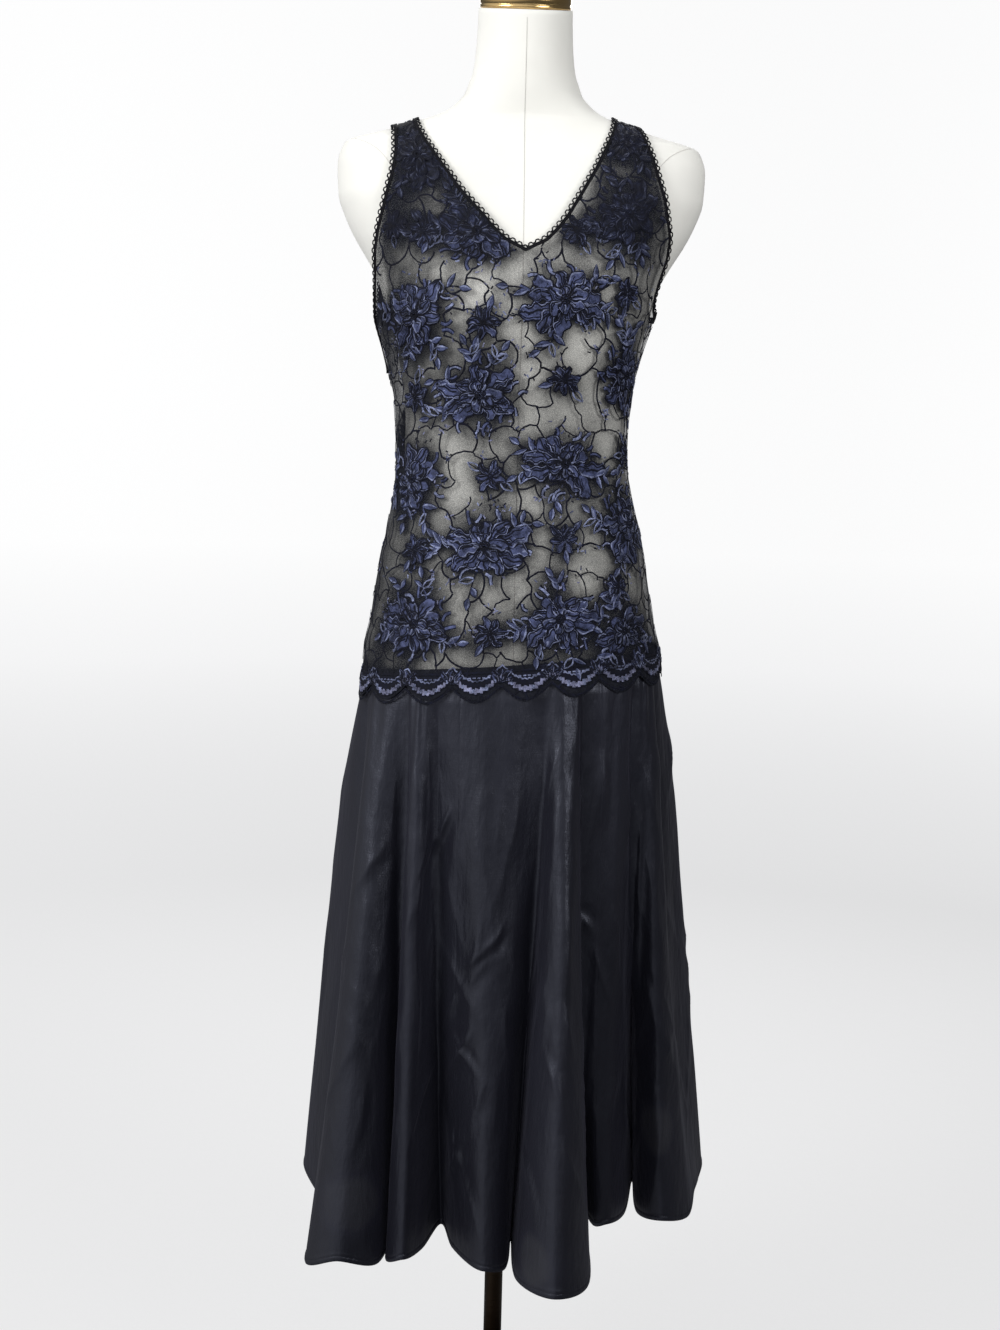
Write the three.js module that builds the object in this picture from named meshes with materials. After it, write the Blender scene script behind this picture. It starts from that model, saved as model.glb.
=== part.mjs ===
// Sleeveless lace maxi dress with a flared satin skirt, on a limbless dress form.
// The form stands on a pole with a round base.
// Millimetres, +Z up. The front faces -Y, and +X is on the right of someone who looks at the front.
// The origin is the centre of the base's underside, on the axis of the pole.
import * as THREE from "three";
import { mergeVertices } from "three/addons/utils/BufferGeometryUtils.js";

// ---------------------------------------------------------------- driving dimensions
const SEAM_GAP = 0.3; // between pieces that are sewn or set together
const LACE_WALL = 1.2;
const SATIN_WALL = 1.0;
const TRIM_WALL = 1.2;
const TRIM_LIFT = 0.5; // above the face of the lace
const TRIM_GAP = 0.8; // from the lace's edge to the edging's
const TRIM_WIDTH = 7; // the looped edging round the neck and the armholes
const MITRE_LIMIT = 2; // the edging's corners reach at most this many widths
const CENTRE_X = 2; // the dress hangs this far off the form's centre line

// The lace hem and the seam under it slope up towards +X.
const HEM_SLOPE = 0.088;
const CUSP_HEIGHT = 877; // the points between two scallops, at x = 0
const SCALLOP_DEPTH = 15;
const SCALLOP_PITCH = 50;
const SCALLOP_PHASE = 12; // one scallop hangs lowest here
const SKIRT_SEAM_HEIGHT = 896; // the skirt's top edge, at x = 0
const LACE_FLARE = 5; // how far the scallops stand out over the skirt

const SKIRT_HEM_HEIGHT = 280;
const SKIRT_HEM_SLOPE_X = 0.018;
const SKIRT_HEM_SLOPE_Y = 0.03;
const SKIRT_INSET = 1.9; // from the lace down to the skirt's top edge
const SKIRT_TOP_RIPPLE = 1.5; // depth of the folds where they start
const FOLD_FULLNESS = 3; // more makes the crests broader and the valleys narrower
const VALLEY_FALL = 1.6; // the valleys follow the hip for longer than the crests do

const UNDERARM_ROW_HEIGHT = 1200; // on the centre line, level with the armholes

const NECK_TILT = 0.268; // the neck's flat top leans forward
const NECK_TILT_START = 1485;
const NECK_TOP = 1562;
const CAP_HEIGHT = 15;
const CAP_RADIUS = 47;
const CAP_ROUND = 6; // its rounded upper edge
const POLE_RADIUS = 10;
const BASE_RADIUS = 150;
const BASE_THICKNESS = 12;
const BASE_EDGE = 3;
const COLLAR_RADIUS = 17;
const COLLAR_HEIGHT = 34;

const FORM_COLUMNS = 32;
const PANEL_COLUMNS = 10; // in half a lace panel
const SCALLOP_SPLIT = 3; // scallop columns for each panel column
const FOLD_COLUMNS = 8;
const GORE_SEAM_COLUMN = 2; // a gore's seam runs down the flank of a fold, this far past the valley
const ROUND_COLUMNS = 40;

// ---------------------------------------------------------------- tables
function table(names, rows) {
  return rows.map((row) => Object.fromEntries(names.map((name, column) => [name, row[column]])));
}

// The form's level sections from the bottom up: half width, depth in front of and behind the axis, and the
// power of the superellipse. Then the room between the form and the cloth at the side, front and back, and
// how far the cloth is shifted along X.
const SECTIONS = table(
  ["height", "side", "front", "back", "power", "easeSide", "easeFront", "easeBack", "shift"],
  [
    [772, 108, 72, 84, 2.2, 8, 6.5, 6.5, 3],
    [790, 127, 86, 99, 2.2, 8, 6.5, 6.5, 3],
    [820, 142, 98, 111, 2.2, 8, 6.5, 6.5, 3],
    [850, 149, 105, 117, 2.2, 8, 6.5, 6.5, 3],
    [880, 151, 107, 118, 2.2, 8, 6.5, 6.5, 3],
    [905, 151, 107, 116, 2.2, 6, 6.5, 6.5, 2.5],
    [930, 147, 106, 111, 2.2, 4, 5, 5, 2],
    [975, 140, 103, 100, 2.2, 4, 4, 4, 1],
    [1018, 132, 98, 88, 2.2, 4, 4, 5, 1],
    [1060, 123.5, 91, 79, 2.2, 3.5, 4, 6, -0.5],
    [1102, 116.5, 85, 74, 2.2, 5, 5, 6, -2],
    [1134, 115.5, 86, 75, 2.2, 6.5, 5, 6, -3.5],
    [1165, 117, 91, 79, 2.2, 7, 5, 6, -4],
    [1186, 120, 97, 83, 2.2, 8, 5, 6, -5],
    [1215, 126.5, 107, 88, 2.2, 8.5, 4, 5, -5],
    [1245, 135.5, 114, 92, 2.2, 9.5, 4, 4, -5],
    [1285, 147, 110, 95, 2.25, 12, 5, 4, -3],
    [1305, 158, 104, 96, 2.3, 9, 6, 3, -2],
    [1326, 171, 97, 97, 2.35, 5, 6, 3, -1],
    [1346, 181, 90, 96, 2.4, 4, 6, 3, 0],
    [1370, 189, 81, 92, 2.5, 3, 5, 3, 0],
    [1400, 190.5, 69, 83, 2.5, 2.5, 3, 2.5, 0],
    [1422, 184, 57, 70, 2.4, 2, 2, 2, 0],
    [1437, 137, 50, 64, 2.3, 4, 2, 2, 0],
    [1444, 115, 47, 60, 2.3, 4, 2, 2, 0],
    [1449, 99, 46, 58, 2.2, 4, 2, 2, 0],
    [1458, 79, 47, 56, 2.1, 4, 2, 2, 0],
    [1466, 69, 48, 54, 2.05, 2, 2, 2, 0],
    [1475, 61, 49, 52, 2, 2, 2, 2, 0],
    [1485, 57, 49, 50, 2, 2, 2, 2, 0],
    [1500, 52.5, 49, 49, 2, 2, 2, 2, 0],
    [1530, 49.5, 48.5, 48.5, 2, 2, 2, 2, 0],
    [NECK_TOP, 48.5, 48.5, 48.5, 2, 2, 2, 2, 0],
  ],
);

// Edge of the lace along the neck, from the centre up to the shoulder, as distances to the left and right.
const FRONT_NECK = table(
  ["height", "left", "right"],
  [
    [1305, 0, 0],
    [1316, 21, 21],
    [1328, 33, 32],
    [1340, 43, 41],
    [1352, 54, 48],
    [1365, 65.5, 55.5],
    [1391, 84, 70],
    [1417, 101.5, 82],
    [1432, 110, 88.5],
    [1447, 114, 93],
  ],
);
const BACK_NECK = table(
  ["height", "left", "right"],
  [
    [1350, 0, 0],
    [1353, 32, 26],
    [1364, 60, 48],
    [1384, 80, 64],
    [1408, 96, 76],
    [1432, 109, 86],
    [1447, 114, 93],
  ],
);

// Edge of the lace round each armhole, from the side seam up to the shoulder, as distances from x = 0.
// The dress sits askew, so the left armhole hangs lower than the right one.
const LEFT_ARMHOLE = table(
  ["height", "reach"],
  [
    [1190, 160],
    [1196, 139],
    [1215, 143],
    [1240, 147],
    [1280, 146],
    [1307, 146.5],
    [1326, 144],
    [1345, 139.5],
    [1365, 135],
    [1386, 130],
    [1407, 128],
    [1430, 129.5],
    [1440, 131],
  ],
);
const RIGHT_ARMHOLE = table(
  ["height", "reach"],
  [
    [1250, 160],
    [1252, 139],
    [1258, 135.5],
    [1270, 136],
    [1287, 140],
    [1307, 146],
    [1326, 148],
    [1345, 144.5],
    [1365, 141],
    [1386, 134.5],
    [1407, 128.5],
    [1430, 120],
    [1442, 114],
  ],
);

// The skirt's folds, in order round the hem, seen from above. From the valley before it a fold goes to its
// left flank, its crest, its right flank and the valley after it. topAngle is that valley's place at the
// seam, from the front. The crest moves out as the power named fall of the distance below the lace.
const FOLDS = table(
  [
    "gore", "leftX", "leftY", "crestX", "crestY", "rightX", "rightY", "valleyX", "valleyY",
    "topAngle", "fall",
  ],
  [
    ["side_left", -198, 136, -222, 112, -204, 48, -178, -12, -74, 0.78],
    ["front_left", -202, -103, -165, -140, -126, -117, -112, -72, -50, 0.95],
    ["front_left", -117, -112, -99, -130, -80, -96, -60, -55, -30, 1],
    ["front_centre", -47, -98, -16, -149, 6, -135, 14, -86, 4, 1.05],
    ["front_centre", 18, -150, 54, -205, 90, -165, 97, -25, 27, 1.05],
    ["front_right", 107, -46, 120, -50, 143, -10, 158, 52, 52, 1.05],
    ["front_right", 158, -6, 181, -43, 215, -8, 227, 32, 72, 0.95],
    ["side_right", 237, 70, 245, 106, 224, 132, 184, 124, 104, 0.9],
    ["back_right", 196, 160, 182, 182, 152, 176, 134, 142, 133, 1],
    ["back_right", 128, 190, 104, 214, 78, 196, 62, 152, 162, 1],
    ["back_centre", 48, 194, 16, 214, -16, 192, -28, 150, 192, 1],
    ["back_left", -44, 196, -74, 216, -100, 184, -108, 142, 221, 1],
    ["back_left", -132, 180, -162, 186, -180, 152, -170, 112, 250, 0.95],
  ],
);
// Shares of the drop from the seam to the hem. The lace covers the skirt down to the second row.
const SKIRT_ROWS = [0, 0.055, 0.16, 0.4, 0.7, 1];
const COVERED_SHARE = SKIRT_ROWS[1];

// ---------------------------------------------------------------- reading the tables
// Smooth value of one column at a height, without overshoot between rows.
function valueAt(rows, column, height) {
  const last = rows.length - 1;
  const found = rows.findIndex((row) => row.height >= height);
  const upper = found < 0 ? last : Math.max(1, found);
  const lower = upper - 1;
  const slope = (row) => {
    if (row <= 0 || row >= last) return 0;
    const before = (rows[row][column] - rows[row - 1][column]) / (rows[row].height - rows[row - 1].height);
    const after = (rows[row + 1][column] - rows[row][column]) / (rows[row + 1].height - rows[row].height);
    return before * after <= 0 ? 0 : (2 * before * after) / (before + after);
  };
  const span = rows[upper].height - rows[lower].height;
  const t = THREE.MathUtils.clamp((height - rows[lower].height) / span, 0, 1);
  const rise = t * t * (3 - 2 * t);
  const leave = t * (1 - t) * (1 - t) * span * slope(lower);
  const arrive = t * t * (t - 1) * span * slope(upper);
  return rows[lower][column] * (1 - rise) + rows[upper][column] * rise + leave + arrive;
}

function formSection(height) {
  return {
    shift: 0,
    side: valueAt(SECTIONS, "side", height),
    front: valueAt(SECTIONS, "front", height),
    back: valueAt(SECTIONS, "back", height),
    power: valueAt(SECTIONS, "power", height),
  };
}

function clothSection(height) {
  const section = formSection(height);
  section.side += valueAt(SECTIONS, "easeSide", height);
  section.front += valueAt(SECTIONS, "easeFront", height);
  section.back += valueAt(SECTIONS, "easeBack", height);
  section.shift = valueAt(SECTIONS, "shift", height);
  return section;
}

// A point of a section at an angle from the front, turning towards +X.
function sectionPoint(section, angle, height) {
  const across = Math.sin(angle);
  const forward = Math.cos(angle);
  const depth = forward > 0 ? section.front : section.back;
  return new THREE.Vector3(
    section.shift + section.side * Math.sign(across) * Math.abs(across) ** (2 / section.power),
    -depth * Math.sign(forward) * Math.abs(forward) ** (2 / section.power),
    height,
  );
}

// ---------------------------------------------------------------- meshes from sheets of points
function gridTriangles(firstIndex, rowCount, columnCount) {
  const triangles = [];
  for (let row = 0; row < rowCount - 1; row += 1) {
    for (let column = 0; column < columnCount - 1; column += 1) {
      const corner = firstIndex + row * columnCount + column;
      triangles.push([corner, corner + 1, corner + columnCount + 1]);
      triangles.push([corner, corner + columnCount + 1, corner + columnCount]);
    }
  }
  return triangles;
}

// Joins rows of points into one sheet. Points at the same place become one.
function newSheet() {
  return { points: [], triangles: [], keys: new Map() };
}

function sheetIndex(sheet, point) {
  const key = [point.x, point.y, point.z].map((value) => Math.round(value * 1000)).join(",");
  if (!sheet.keys.has(key)) {
    sheet.keys.set(key, sheet.points.length);
    sheet.points.push(point);
  }
  return sheet.keys.get(key);
}

function addTriangle(sheet, a, b, c, flip) {
  const corners = [a, b, c].map((point) => sheetIndex(sheet, point));
  if (new Set(corners).size < 3) return;
  sheet.triangles.push(flip ? [corners[0], corners[2], corners[1]] : corners);
}

function addGrid(sheet, rows, flip) {
  const flat = rows.flat();
  for (const [a, b, c] of gridTriangles(0, rows.length, rows[0].length)) {
    addTriangle(sheet, flat[a], flat[b], flat[c], flip);
  }
}

// Joins a fine row to a coarse row that has one point for every few of the fine ones.
function addSplitStrip(sheet, fine, coarse, split, flip) {
  for (let column = 0; column < coarse.length - 1; column += 1) {
    for (let step = 0; step < split; step += 1) {
      const at = column * split + step;
      addTriangle(sheet, fine[at], fine[at + 1], coarse[column], flip);
    }
    addTriangle(sheet, fine[(column + 1) * split], coarse[column + 1], coarse[column], flip);
  }
}

function sheetNormals(sheet) {
  const normals = sheet.points.map(() => new THREE.Vector3());
  for (const [a, b, c] of sheet.triangles) {
    const ab = sheet.points[b].clone().sub(sheet.points[a]);
    const ac = sheet.points[c].clone().sub(sheet.points[a]);
    const face = ab.cross(ac);
    for (const corner of [a, b, c]) normals[corner].add(face);
  }
  return normals.map((normal) => normal.normalize());
}

// Turns a sheet into a closed wall between two distances from it, measured along its normals.
function wall(sheet, inner, outer, normals = sheetNormals(sheet)) {
  const count = sheet.points.length;
  const positions = [];
  for (const distance of [outer, inner]) {
    sheet.points.forEach((point, index) => {
      positions.push(...point.clone().addScaledVector(normals[index], distance).toArray());
    });
  }
  const indices = [];
  const edges = new Map();
  for (const [a, b, c] of sheet.triangles) {
    indices.push(a, b, c, count + a, count + c, count + b);
    for (const [from, to] of [[a, b], [b, c], [c, a]]) {
      if (!edges.delete(`${to},${from}`)) edges.set(`${from},${to}`, [from, to]);
    }
  }
  // Each side face is split from its higher outer corner, so two walls that meet at a seam stay parallel.
  for (const [from, to] of edges.values()) {
    if (sheet.points[to].z > sheet.points[from].z) {
      indices.push(to, from, count + from, to, count + from, count + to);
    } else {
      indices.push(to, from, count + to, from, count + from, count + to);
    }
  }
  return closedGeometry(positions, indices);
}

function closedGeometry(positions, indices) {
  const geometry = new THREE.BufferGeometry();
  geometry.setAttribute("position", new THREE.Float32BufferAttribute(positions, 3));
  geometry.setIndex(indices);
  geometry.computeVertexNormals();
  return geometry;
}

// Closes a stack of rings with a flat fan at each end.
function loft(rings) {
  const columns = rings[0].length;
  const positions = rings.flat().flatMap((point) => point.toArray());
  const indices = [];
  for (let row = 0; row < rings.length - 1; row += 1) {
    for (let column = 0; column < columns; column += 1) {
      const next = (column + 1) % columns;
      const low = row * columns;
      const high = low + columns;
      indices.push(low + column, low + next, high + next, low + column, high + next, high + column);
    }
  }
  for (const [ring, start, turn] of [[rings[0], 0, 1], [rings.at(-1), (rings.length - 1) * columns, 0]]) {
    const middle = ring.reduce((sum, point) => sum.add(point), new THREE.Vector3()).divideScalar(columns);
    const centre = positions.length / 3;
    positions.push(...middle.toArray());
    for (let column = 0; column < columns; column += 1) {
      const pair = [start + column, start + ((column + 1) % columns)];
      if (turn) pair.reverse();
      indices.push(pair[0], pair[1], centre);
    }
  }
  return closedGeometry(positions, indices);
}

// ---------------------------------------------------------------- the dress form and its stand
function neckTilt(height, y) {
  const share = THREE.MathUtils.smoothstep(height, NECK_TILT_START, NECK_TOP);
  return height + share * NECK_TILT * y;
}

function formTorso() {
  const rings = SECTIONS.map(({ height }) => {
    const section = formSection(height);
    const ring = [];
    for (let column = 0; column < FORM_COLUMNS; column += 1) {
      const point = sectionPoint(section, (column / FORM_COLUMNS) * 2 * Math.PI, height);
      point.z = neckTilt(height, point.y);
      ring.push(point);
    }
    return ring;
  });
  return loft(rings);
}

function lathe(profile) {
  const points = profile.map(([radius, height]) => new THREE.Vector2(radius, height));
  const geometry = new THREE.LatheGeometry(points, ROUND_COLUMNS);
  geometry.deleteAttribute("uv");
  geometry.deleteAttribute("normal");
  geometry.rotateX(Math.PI / 2);
  return mergeVertices(geometry, 1e-4);
}

function neckCap() {
  const geometry = lathe([
    [0, 0],
    [CAP_RADIUS, 0],
    [CAP_RADIUS, CAP_HEIGHT - CAP_ROUND],
    [CAP_RADIUS - CAP_ROUND * 0.3, CAP_HEIGHT - CAP_ROUND * 0.3],
    [CAP_RADIUS - CAP_ROUND, CAP_HEIGHT],
    [0, CAP_HEIGHT],
  ]);
  geometry.rotateX(Math.atan(NECK_TILT));
  geometry.translate(0, 0, NECK_TOP + SEAM_GAP);
  return geometry;
}

function pole() {
  const foot = BASE_THICKNESS + SEAM_GAP;
  const head = SECTIONS[0].height - SEAM_GAP;
  return lathe([[0, foot], [POLE_RADIUS, foot], [POLE_RADIUS, head], [0, head]]);
}

// A flat disc with a softened rim.
function standBase() {
  return lathe([
    [0, 0],
    [BASE_RADIUS - BASE_EDGE, 0],
    [BASE_RADIUS, BASE_EDGE],
    [BASE_RADIUS, BASE_THICKNESS - BASE_EDGE],
    [BASE_RADIUS - BASE_EDGE, BASE_THICKNESS],
    [0, BASE_THICKNESS],
  ]);
}

// The collar sits on the disc and holds the foot of the pole.
function standCollar() {
  const bore = POLE_RADIUS + SEAM_GAP;
  const foot = BASE_THICKNESS + SEAM_GAP;
  const top = foot + COLLAR_HEIGHT;
  return lathe([[bore, foot], [COLLAR_RADIUS, foot], [COLLAR_RADIUS, top], [bore, top], [bore, foot]]);
}

// ---------------------------------------------------------------- the lace bodice
// The two panels. The row that meets the neck's lowest point ends this far up the armhole's edge.
const FACES = {
  front: { turn: -1, depth: "front", neck: FRONT_NECK, armShareAtNeck: 0.42 },
  back: { turn: 1, depth: "back", neck: BACK_NECK, armShareAtNeck: 0.6 },
};
const SIDES = {
  left: { turn: -1, armhole: LEFT_ARMHOLE },
  right: { turn: 1, armhole: RIGHT_ARMHOLE },
};

// The shoulder's crest lies between these heights, and halving the range this often finds it.
const SHOULDER_LOW = 1400;
const SHOULDER_HIGH = 1456;
const CREST_STEPS = 30;

// Height of the shoulder's crest over a distance from the section's middle.
function crestHeight(reach) {
  let low = SHOULDER_LOW;
  let high = SHOULDER_HIGH;
  for (let step = 0; step < CREST_STEPS; step += 1) {
    const middle = (low + high) / 2;
    if (clothSection(middle).side > reach) low = middle;
    else high = middle;
  }
  return low;
}

function seamHeight(x) {
  return SKIRT_SEAM_HEIGHT + HEM_SLOPE * x;
}

// Moves a point outward in proportion to its drop below the seam, as far as the lowest scallops.
function flared(point, drop) {
  const section = clothSection(SKIRT_SEAM_HEIGHT);
  const depth = point.y < 0 ? section.front : section.back;
  const overhang = SKIRT_SEAM_HEIGHT - CUSP_HEIGHT + SCALLOP_DEPTH;
  const flare = LACE_FLARE * THREE.MathUtils.clamp(drop / overhang, 0, 1);
  const outward = new THREE.Vector3(point.x / section.side ** 2, point.y / depth ** 2, 0);
  return point.addScaledVector(outward.normalize(), flare);
}

// The lace follows the form down to the skirt's seam, and hangs straight below it.
function laceSection(reach, height, side) {
  return clothSection(Math.max(height, seamHeight(side.turn * reach)));
}

// A place on the cloth is a reach from x = 0 on one side and a height.
function clothPoint(reach, height, face, side) {
  const section = laceSection(reach, height, side);
  const offset = side.turn * reach - section.shift;
  const share = Math.min(1, Math.abs(offset) / section.side);
  const depth = section[face.depth] * (1 - share ** section.power) ** (1 / section.power);
  const x = section.shift + Math.sign(offset) * share * section.side;
  const y = face.turn * (depth + SEAM_GAP / 2);
  return flared(new THREE.Vector3(x, y, height), seamHeight(x) - height);
}

function sideReach(height, side) {
  const level = clothSection(height).side;
  const section = laceSection(level, height, side);
  return section.side + side.turn * section.shift;
}

// Points along a run of places, at equal shares of its length.
function alongPath(places, share) {
  const lengths = [0];
  for (let index = 1; index < places.length; index += 1) {
    const step = Math.hypot(places[index].reach - places[index - 1].reach,
      places[index].height - places[index - 1].height);
    lengths.push(lengths.at(-1) + step);
  }
  const wanted = share * lengths.at(-1);
  const upper = Math.max(1, lengths.findIndex((length) => length >= wanted - 1e-9));
  const t = (wanted - lengths[upper - 1]) / (lengths[upper] - lengths[upper - 1]);
  return {
    reach: THREE.MathUtils.lerp(places[upper - 1].reach, places[upper].reach, t),
    height: THREE.MathUtils.lerp(places[upper - 1].height, places[upper].height, t),
  };
}

// The rows from just over the scallops, past the skirt's seam, to the underarm.
const LOWER_SHARES = [0, 0.055, 0.18, 0.34, 0.5, 0.67, 0.84, 1];
const UNDERARM_ROW = LOWER_SHARES.length - 1;
const SCALLOP_MARGIN = 4; // from the cusps up to the first row
const CHEST_ROWS = 3; // from the underarm to the point of the neck
const FULLY_OVER_SHARE = 0.8; // strap rows past this follow the shoulder's crest
const STRAP_SHARES = [0.12, 0.26, 0.42, 0.58, 0.73, 0.85, 0.93, 0.967, 0.986, 0.996, 1];

// Inner and outer end of each row of a half panel.
function rowEnds(face, side) {
  const neckEdge = face.neck.map((row) => ({
    reach: (side.turn < 0 ? row.left : row.right) + side.turn * CENTRE_X,
    height: row.height,
  }));
  const armEdge = side.armhole.map((row) => ({
    reach: Math.min(row.reach, sideReach(row.height, side)),
    height: row.height,
  }));
  for (const edge of [neckEdge, armEdge]) {
    const top = edge.at(-1);
    top.height = crestHeight(top.reach);
  }
  const middle = side.turn * CENTRE_X;
  const ends = [];
  const low = CUSP_HEIGHT + SCALLOP_MARGIN;
  for (const share of LOWER_SHARES) {
    const innerHeight = THREE.MathUtils.lerp(low, UNDERARM_ROW_HEIGHT, share);
    const outerLow = low + side.turn * HEM_SLOPE * sideReach(low, side);
    const outerHeight = THREE.MathUtils.lerp(outerLow, armEdge[0].height, share);
    const outer = { reach: sideReach(outerHeight, side), height: outerHeight };
    ends.push({ inner: { reach: middle, height: innerHeight }, outer, over: 0 });
  }
  const neckStart = neckEdge[0].height;
  for (let row = 1; row <= CHEST_ROWS; row += 1) {
    const share = row / CHEST_ROWS;
    const height = THREE.MathUtils.lerp(UNDERARM_ROW_HEIGHT, neckStart, share);
    const outer = alongPath(armEdge, share * face.armShareAtNeck);
    ends.push({ inner: { reach: middle, height }, outer, over: 0 });
  }
  for (const share of STRAP_SHARES) {
    const outer = alongPath(armEdge, THREE.MathUtils.lerp(face.armShareAtNeck, 1, share));
    const over = THREE.MathUtils.smoothstep(share, 0, FULLY_OVER_SHARE);
    ends.push({ inner: alongPath(neckEdge, share), outer, over });
  }
  return ends;
}

// One row of points between its two ends. Low rows are spaced by angle round the body, and the rows that
// climb over the shoulder by their drop from its crest.
function rowPoints({ inner, outer, over }, face, side, columns) {
  const angleOf = ({ reach, height }) => {
    const section = laceSection(reach, height, side);
    const share = (side.turn * reach - section.shift) / section.side;
    return Math.asin(Math.sign(share) * Math.min(1, Math.abs(share)) ** (section.power / 2));
  };
  const drop = ({ reach, height }) => crestHeight(Math.abs(reach)) - height;
  const points = [];
  for (let column = 0; column <= columns; column += 1) {
    const t = column / columns;
    const heightRound = THREE.MathUtils.lerp(inner.height, outer.height, t);
    const angle = THREE.MathUtils.lerp(angleOf(inner), angleOf(outer), t);
    const reachOver = THREE.MathUtils.lerp(inner.reach, outer.reach, t);
    const section = laceSection(reachOver, heightRound, side);
    const reachRound = side.turn * sectionPoint(section, angle, heightRound).x;
    const heightOver = crestHeight(reachOver) - THREE.MathUtils.lerp(drop(inner), drop(outer), t);
    const reach = THREE.MathUtils.lerp(reachRound, reachOver, over);
    const height = THREE.MathUtils.lerp(heightRound, heightOver, over);
    points.push(clothPoint(reach, height, face, side));
  }
  return points;
}

function scallopRow(face, side) {
  const columns = PANEL_COLUMNS * SCALLOP_SPLIT;
  const cuspAt = (reach) => CUSP_HEIGHT + side.turn * HEM_SLOPE * reach;
  const ends = {
    inner: { reach: side.turn * CENTRE_X, height: cuspAt(side.turn * CENTRE_X) },
    outer: { reach: sideReach(CUSP_HEIGHT, side), height: cuspAt(sideReach(CUSP_HEIGHT, side)) },
    over: 0,
  };
  const row = rowPoints(ends, face, side, columns);
  let along = 0;
  return row.map((point, column) => {
    if (column > 0) along += point.distanceTo(row[column - 1]);
    const place = side.turn * along - SCALLOP_PHASE;
    const drop = SCALLOP_DEPTH * Math.abs(Math.cos((Math.PI * place) / SCALLOP_PITCH));
    return clothPoint(side.turn * point.x, point.z - drop, face, side);
  });
}

function bodiceHalf(faceName, sideName) {
  const face = FACES[faceName];
  const side = SIDES[sideName];
  const rows = rowEnds(face, side).map((ends) => rowPoints(ends, face, side, PANEL_COLUMNS));
  return { rows, scallops: scallopRow(face, side), flip: face.turn * side.turn > 0 };
}

function bodicePanel(faceName) {
  const sheet = newSheet();
  for (const sideName of Object.keys(SIDES)) {
    const half = bodiceHalf(faceName, sideName);
    addGrid(sheet, half.rows, half.flip);
    addSplitStrip(sheet, half.scallops, half.rows[0], SCALLOP_SPLIT, half.flip);
  }
  return wall(sheet, 0, LACE_WALL);
}

// ---------------------------------------------------------------- the looped edging
// A strip laid beside an edge of the lace, on the side away from the cloth. Each place on the edge comes
// with a point of the cloth next to it. A closed edge ends where it starts.
function edging(edge, inside, closed = false) {
  const count = edge.length;
  const wrapped = (index) => (index + count) % count;
  const clamped = (index) => THREE.MathUtils.clamp(index, 0, count - 1);
  const neighbour = (index) => edge[closed ? wrapped(index) : clamped(index)];
  const strip = [TRIM_GAP, TRIM_WIDTH].map((distance) => edge.map((point, index) => {
    const arriving = point.clone().sub(neighbour(index - 1)).normalize();
    const leaving = neighbour(index + 1).clone().sub(point).normalize();
    const along = arriving.clone().add(leaving).normalize();
    const away = point.clone().sub(inside[index]);
    away.addScaledVector(along, -away.dot(along)).normalize();
    const turning = arriving.length() * leaving.length() > 0 ? arriving.dot(leaving) : 1;
    const mitre = Math.min(MITRE_LIMIT, 1 / Math.sqrt((1 + turning) / 2));
    return point.clone().addScaledVector(away, distance * mitre);
  }));
  if (closed) strip.forEach((row) => row.push(row[0]));
  return strip;
}

function neckEdging(faceName) {
  const left = bodiceHalf(faceName, "left").rows;
  const right = bodiceHalf(faceName, "right").rows;
  const point = UNDERARM_ROW + CHEST_ROWS;
  const leftRows = left.slice(point + 1).reverse();
  const rightRows = right.slice(point + 1);
  const edge = [...leftRows, left[point], ...rightRows].map((row) => row[0]);
  const inside = [
    ...leftRows.map((row) => row[1]),
    left[point - 1][0],
    ...rightRows.map((row) => row[1]),
  ];
  const sheet = newSheet();
  addGrid(sheet, edging(edge, inside), faceName === "back");
  return wall(sheet, TRIM_LIFT, TRIM_LIFT + TRIM_WALL);
}

function armholeEdging(sideName) {
  const front = bodiceHalf("front", sideName).rows.slice(UNDERARM_ROW - 1);
  const back = bodiceHalf("back", sideName).rows.slice(UNDERARM_ROW - 1);
  const onSeam = (point) => point.clone().setY(0);
  const rising = front.slice(2, -1);
  const falling = back.slice(2, -1).reverse();
  const edge = [
    onSeam(front[1].at(-1)),
    ...rising.map((row) => row.at(-1)),
    onSeam(front.at(-1).at(-1)),
    ...falling.map((row) => row.at(-1)),
  ];
  const inside = [
    onSeam(front[0].at(-1)),
    ...rising.map((row) => row.at(-2)),
    onSeam(front.at(-1).at(-2)),
    ...falling.map((row) => row.at(-2)),
  ];
  const sheet = newSheet();
  addGrid(sheet, edging(edge, inside, true), sideName === "right");
  return wall(sheet, TRIM_LIFT, TRIM_LIFT + TRIM_WALL);
}

// ---------------------------------------------------------------- the satin skirt
// How far a place on a fold has risen from its valleys, at 0, to its crest, at 1.
function foldLift(t) {
  return 1 - Math.abs(Math.cos(Math.PI * t)) ** FOLD_FULLNESS;
}

// The hem in plan, as one closed curve with four points for each fold.
const HEM_CURVE = new THREE.CatmullRomCurve3(
  FOLDS.flatMap((fold) => ["left", "crest", "right", "valley"].map(
    (place) => new THREE.Vector3(fold[`${place}X`], fold[`${place}Y`], 0),
  )),
  true,
);

// A point of the hem, from the valley before a fold, at 0, to the one after it, at 1.
function hemPoint(index, t) {
  const spans = 4 * FOLDS.length;
  return HEM_CURVE.getPoint(((4 * (index + t) - 1 + spans) % spans) / spans);
}

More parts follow.
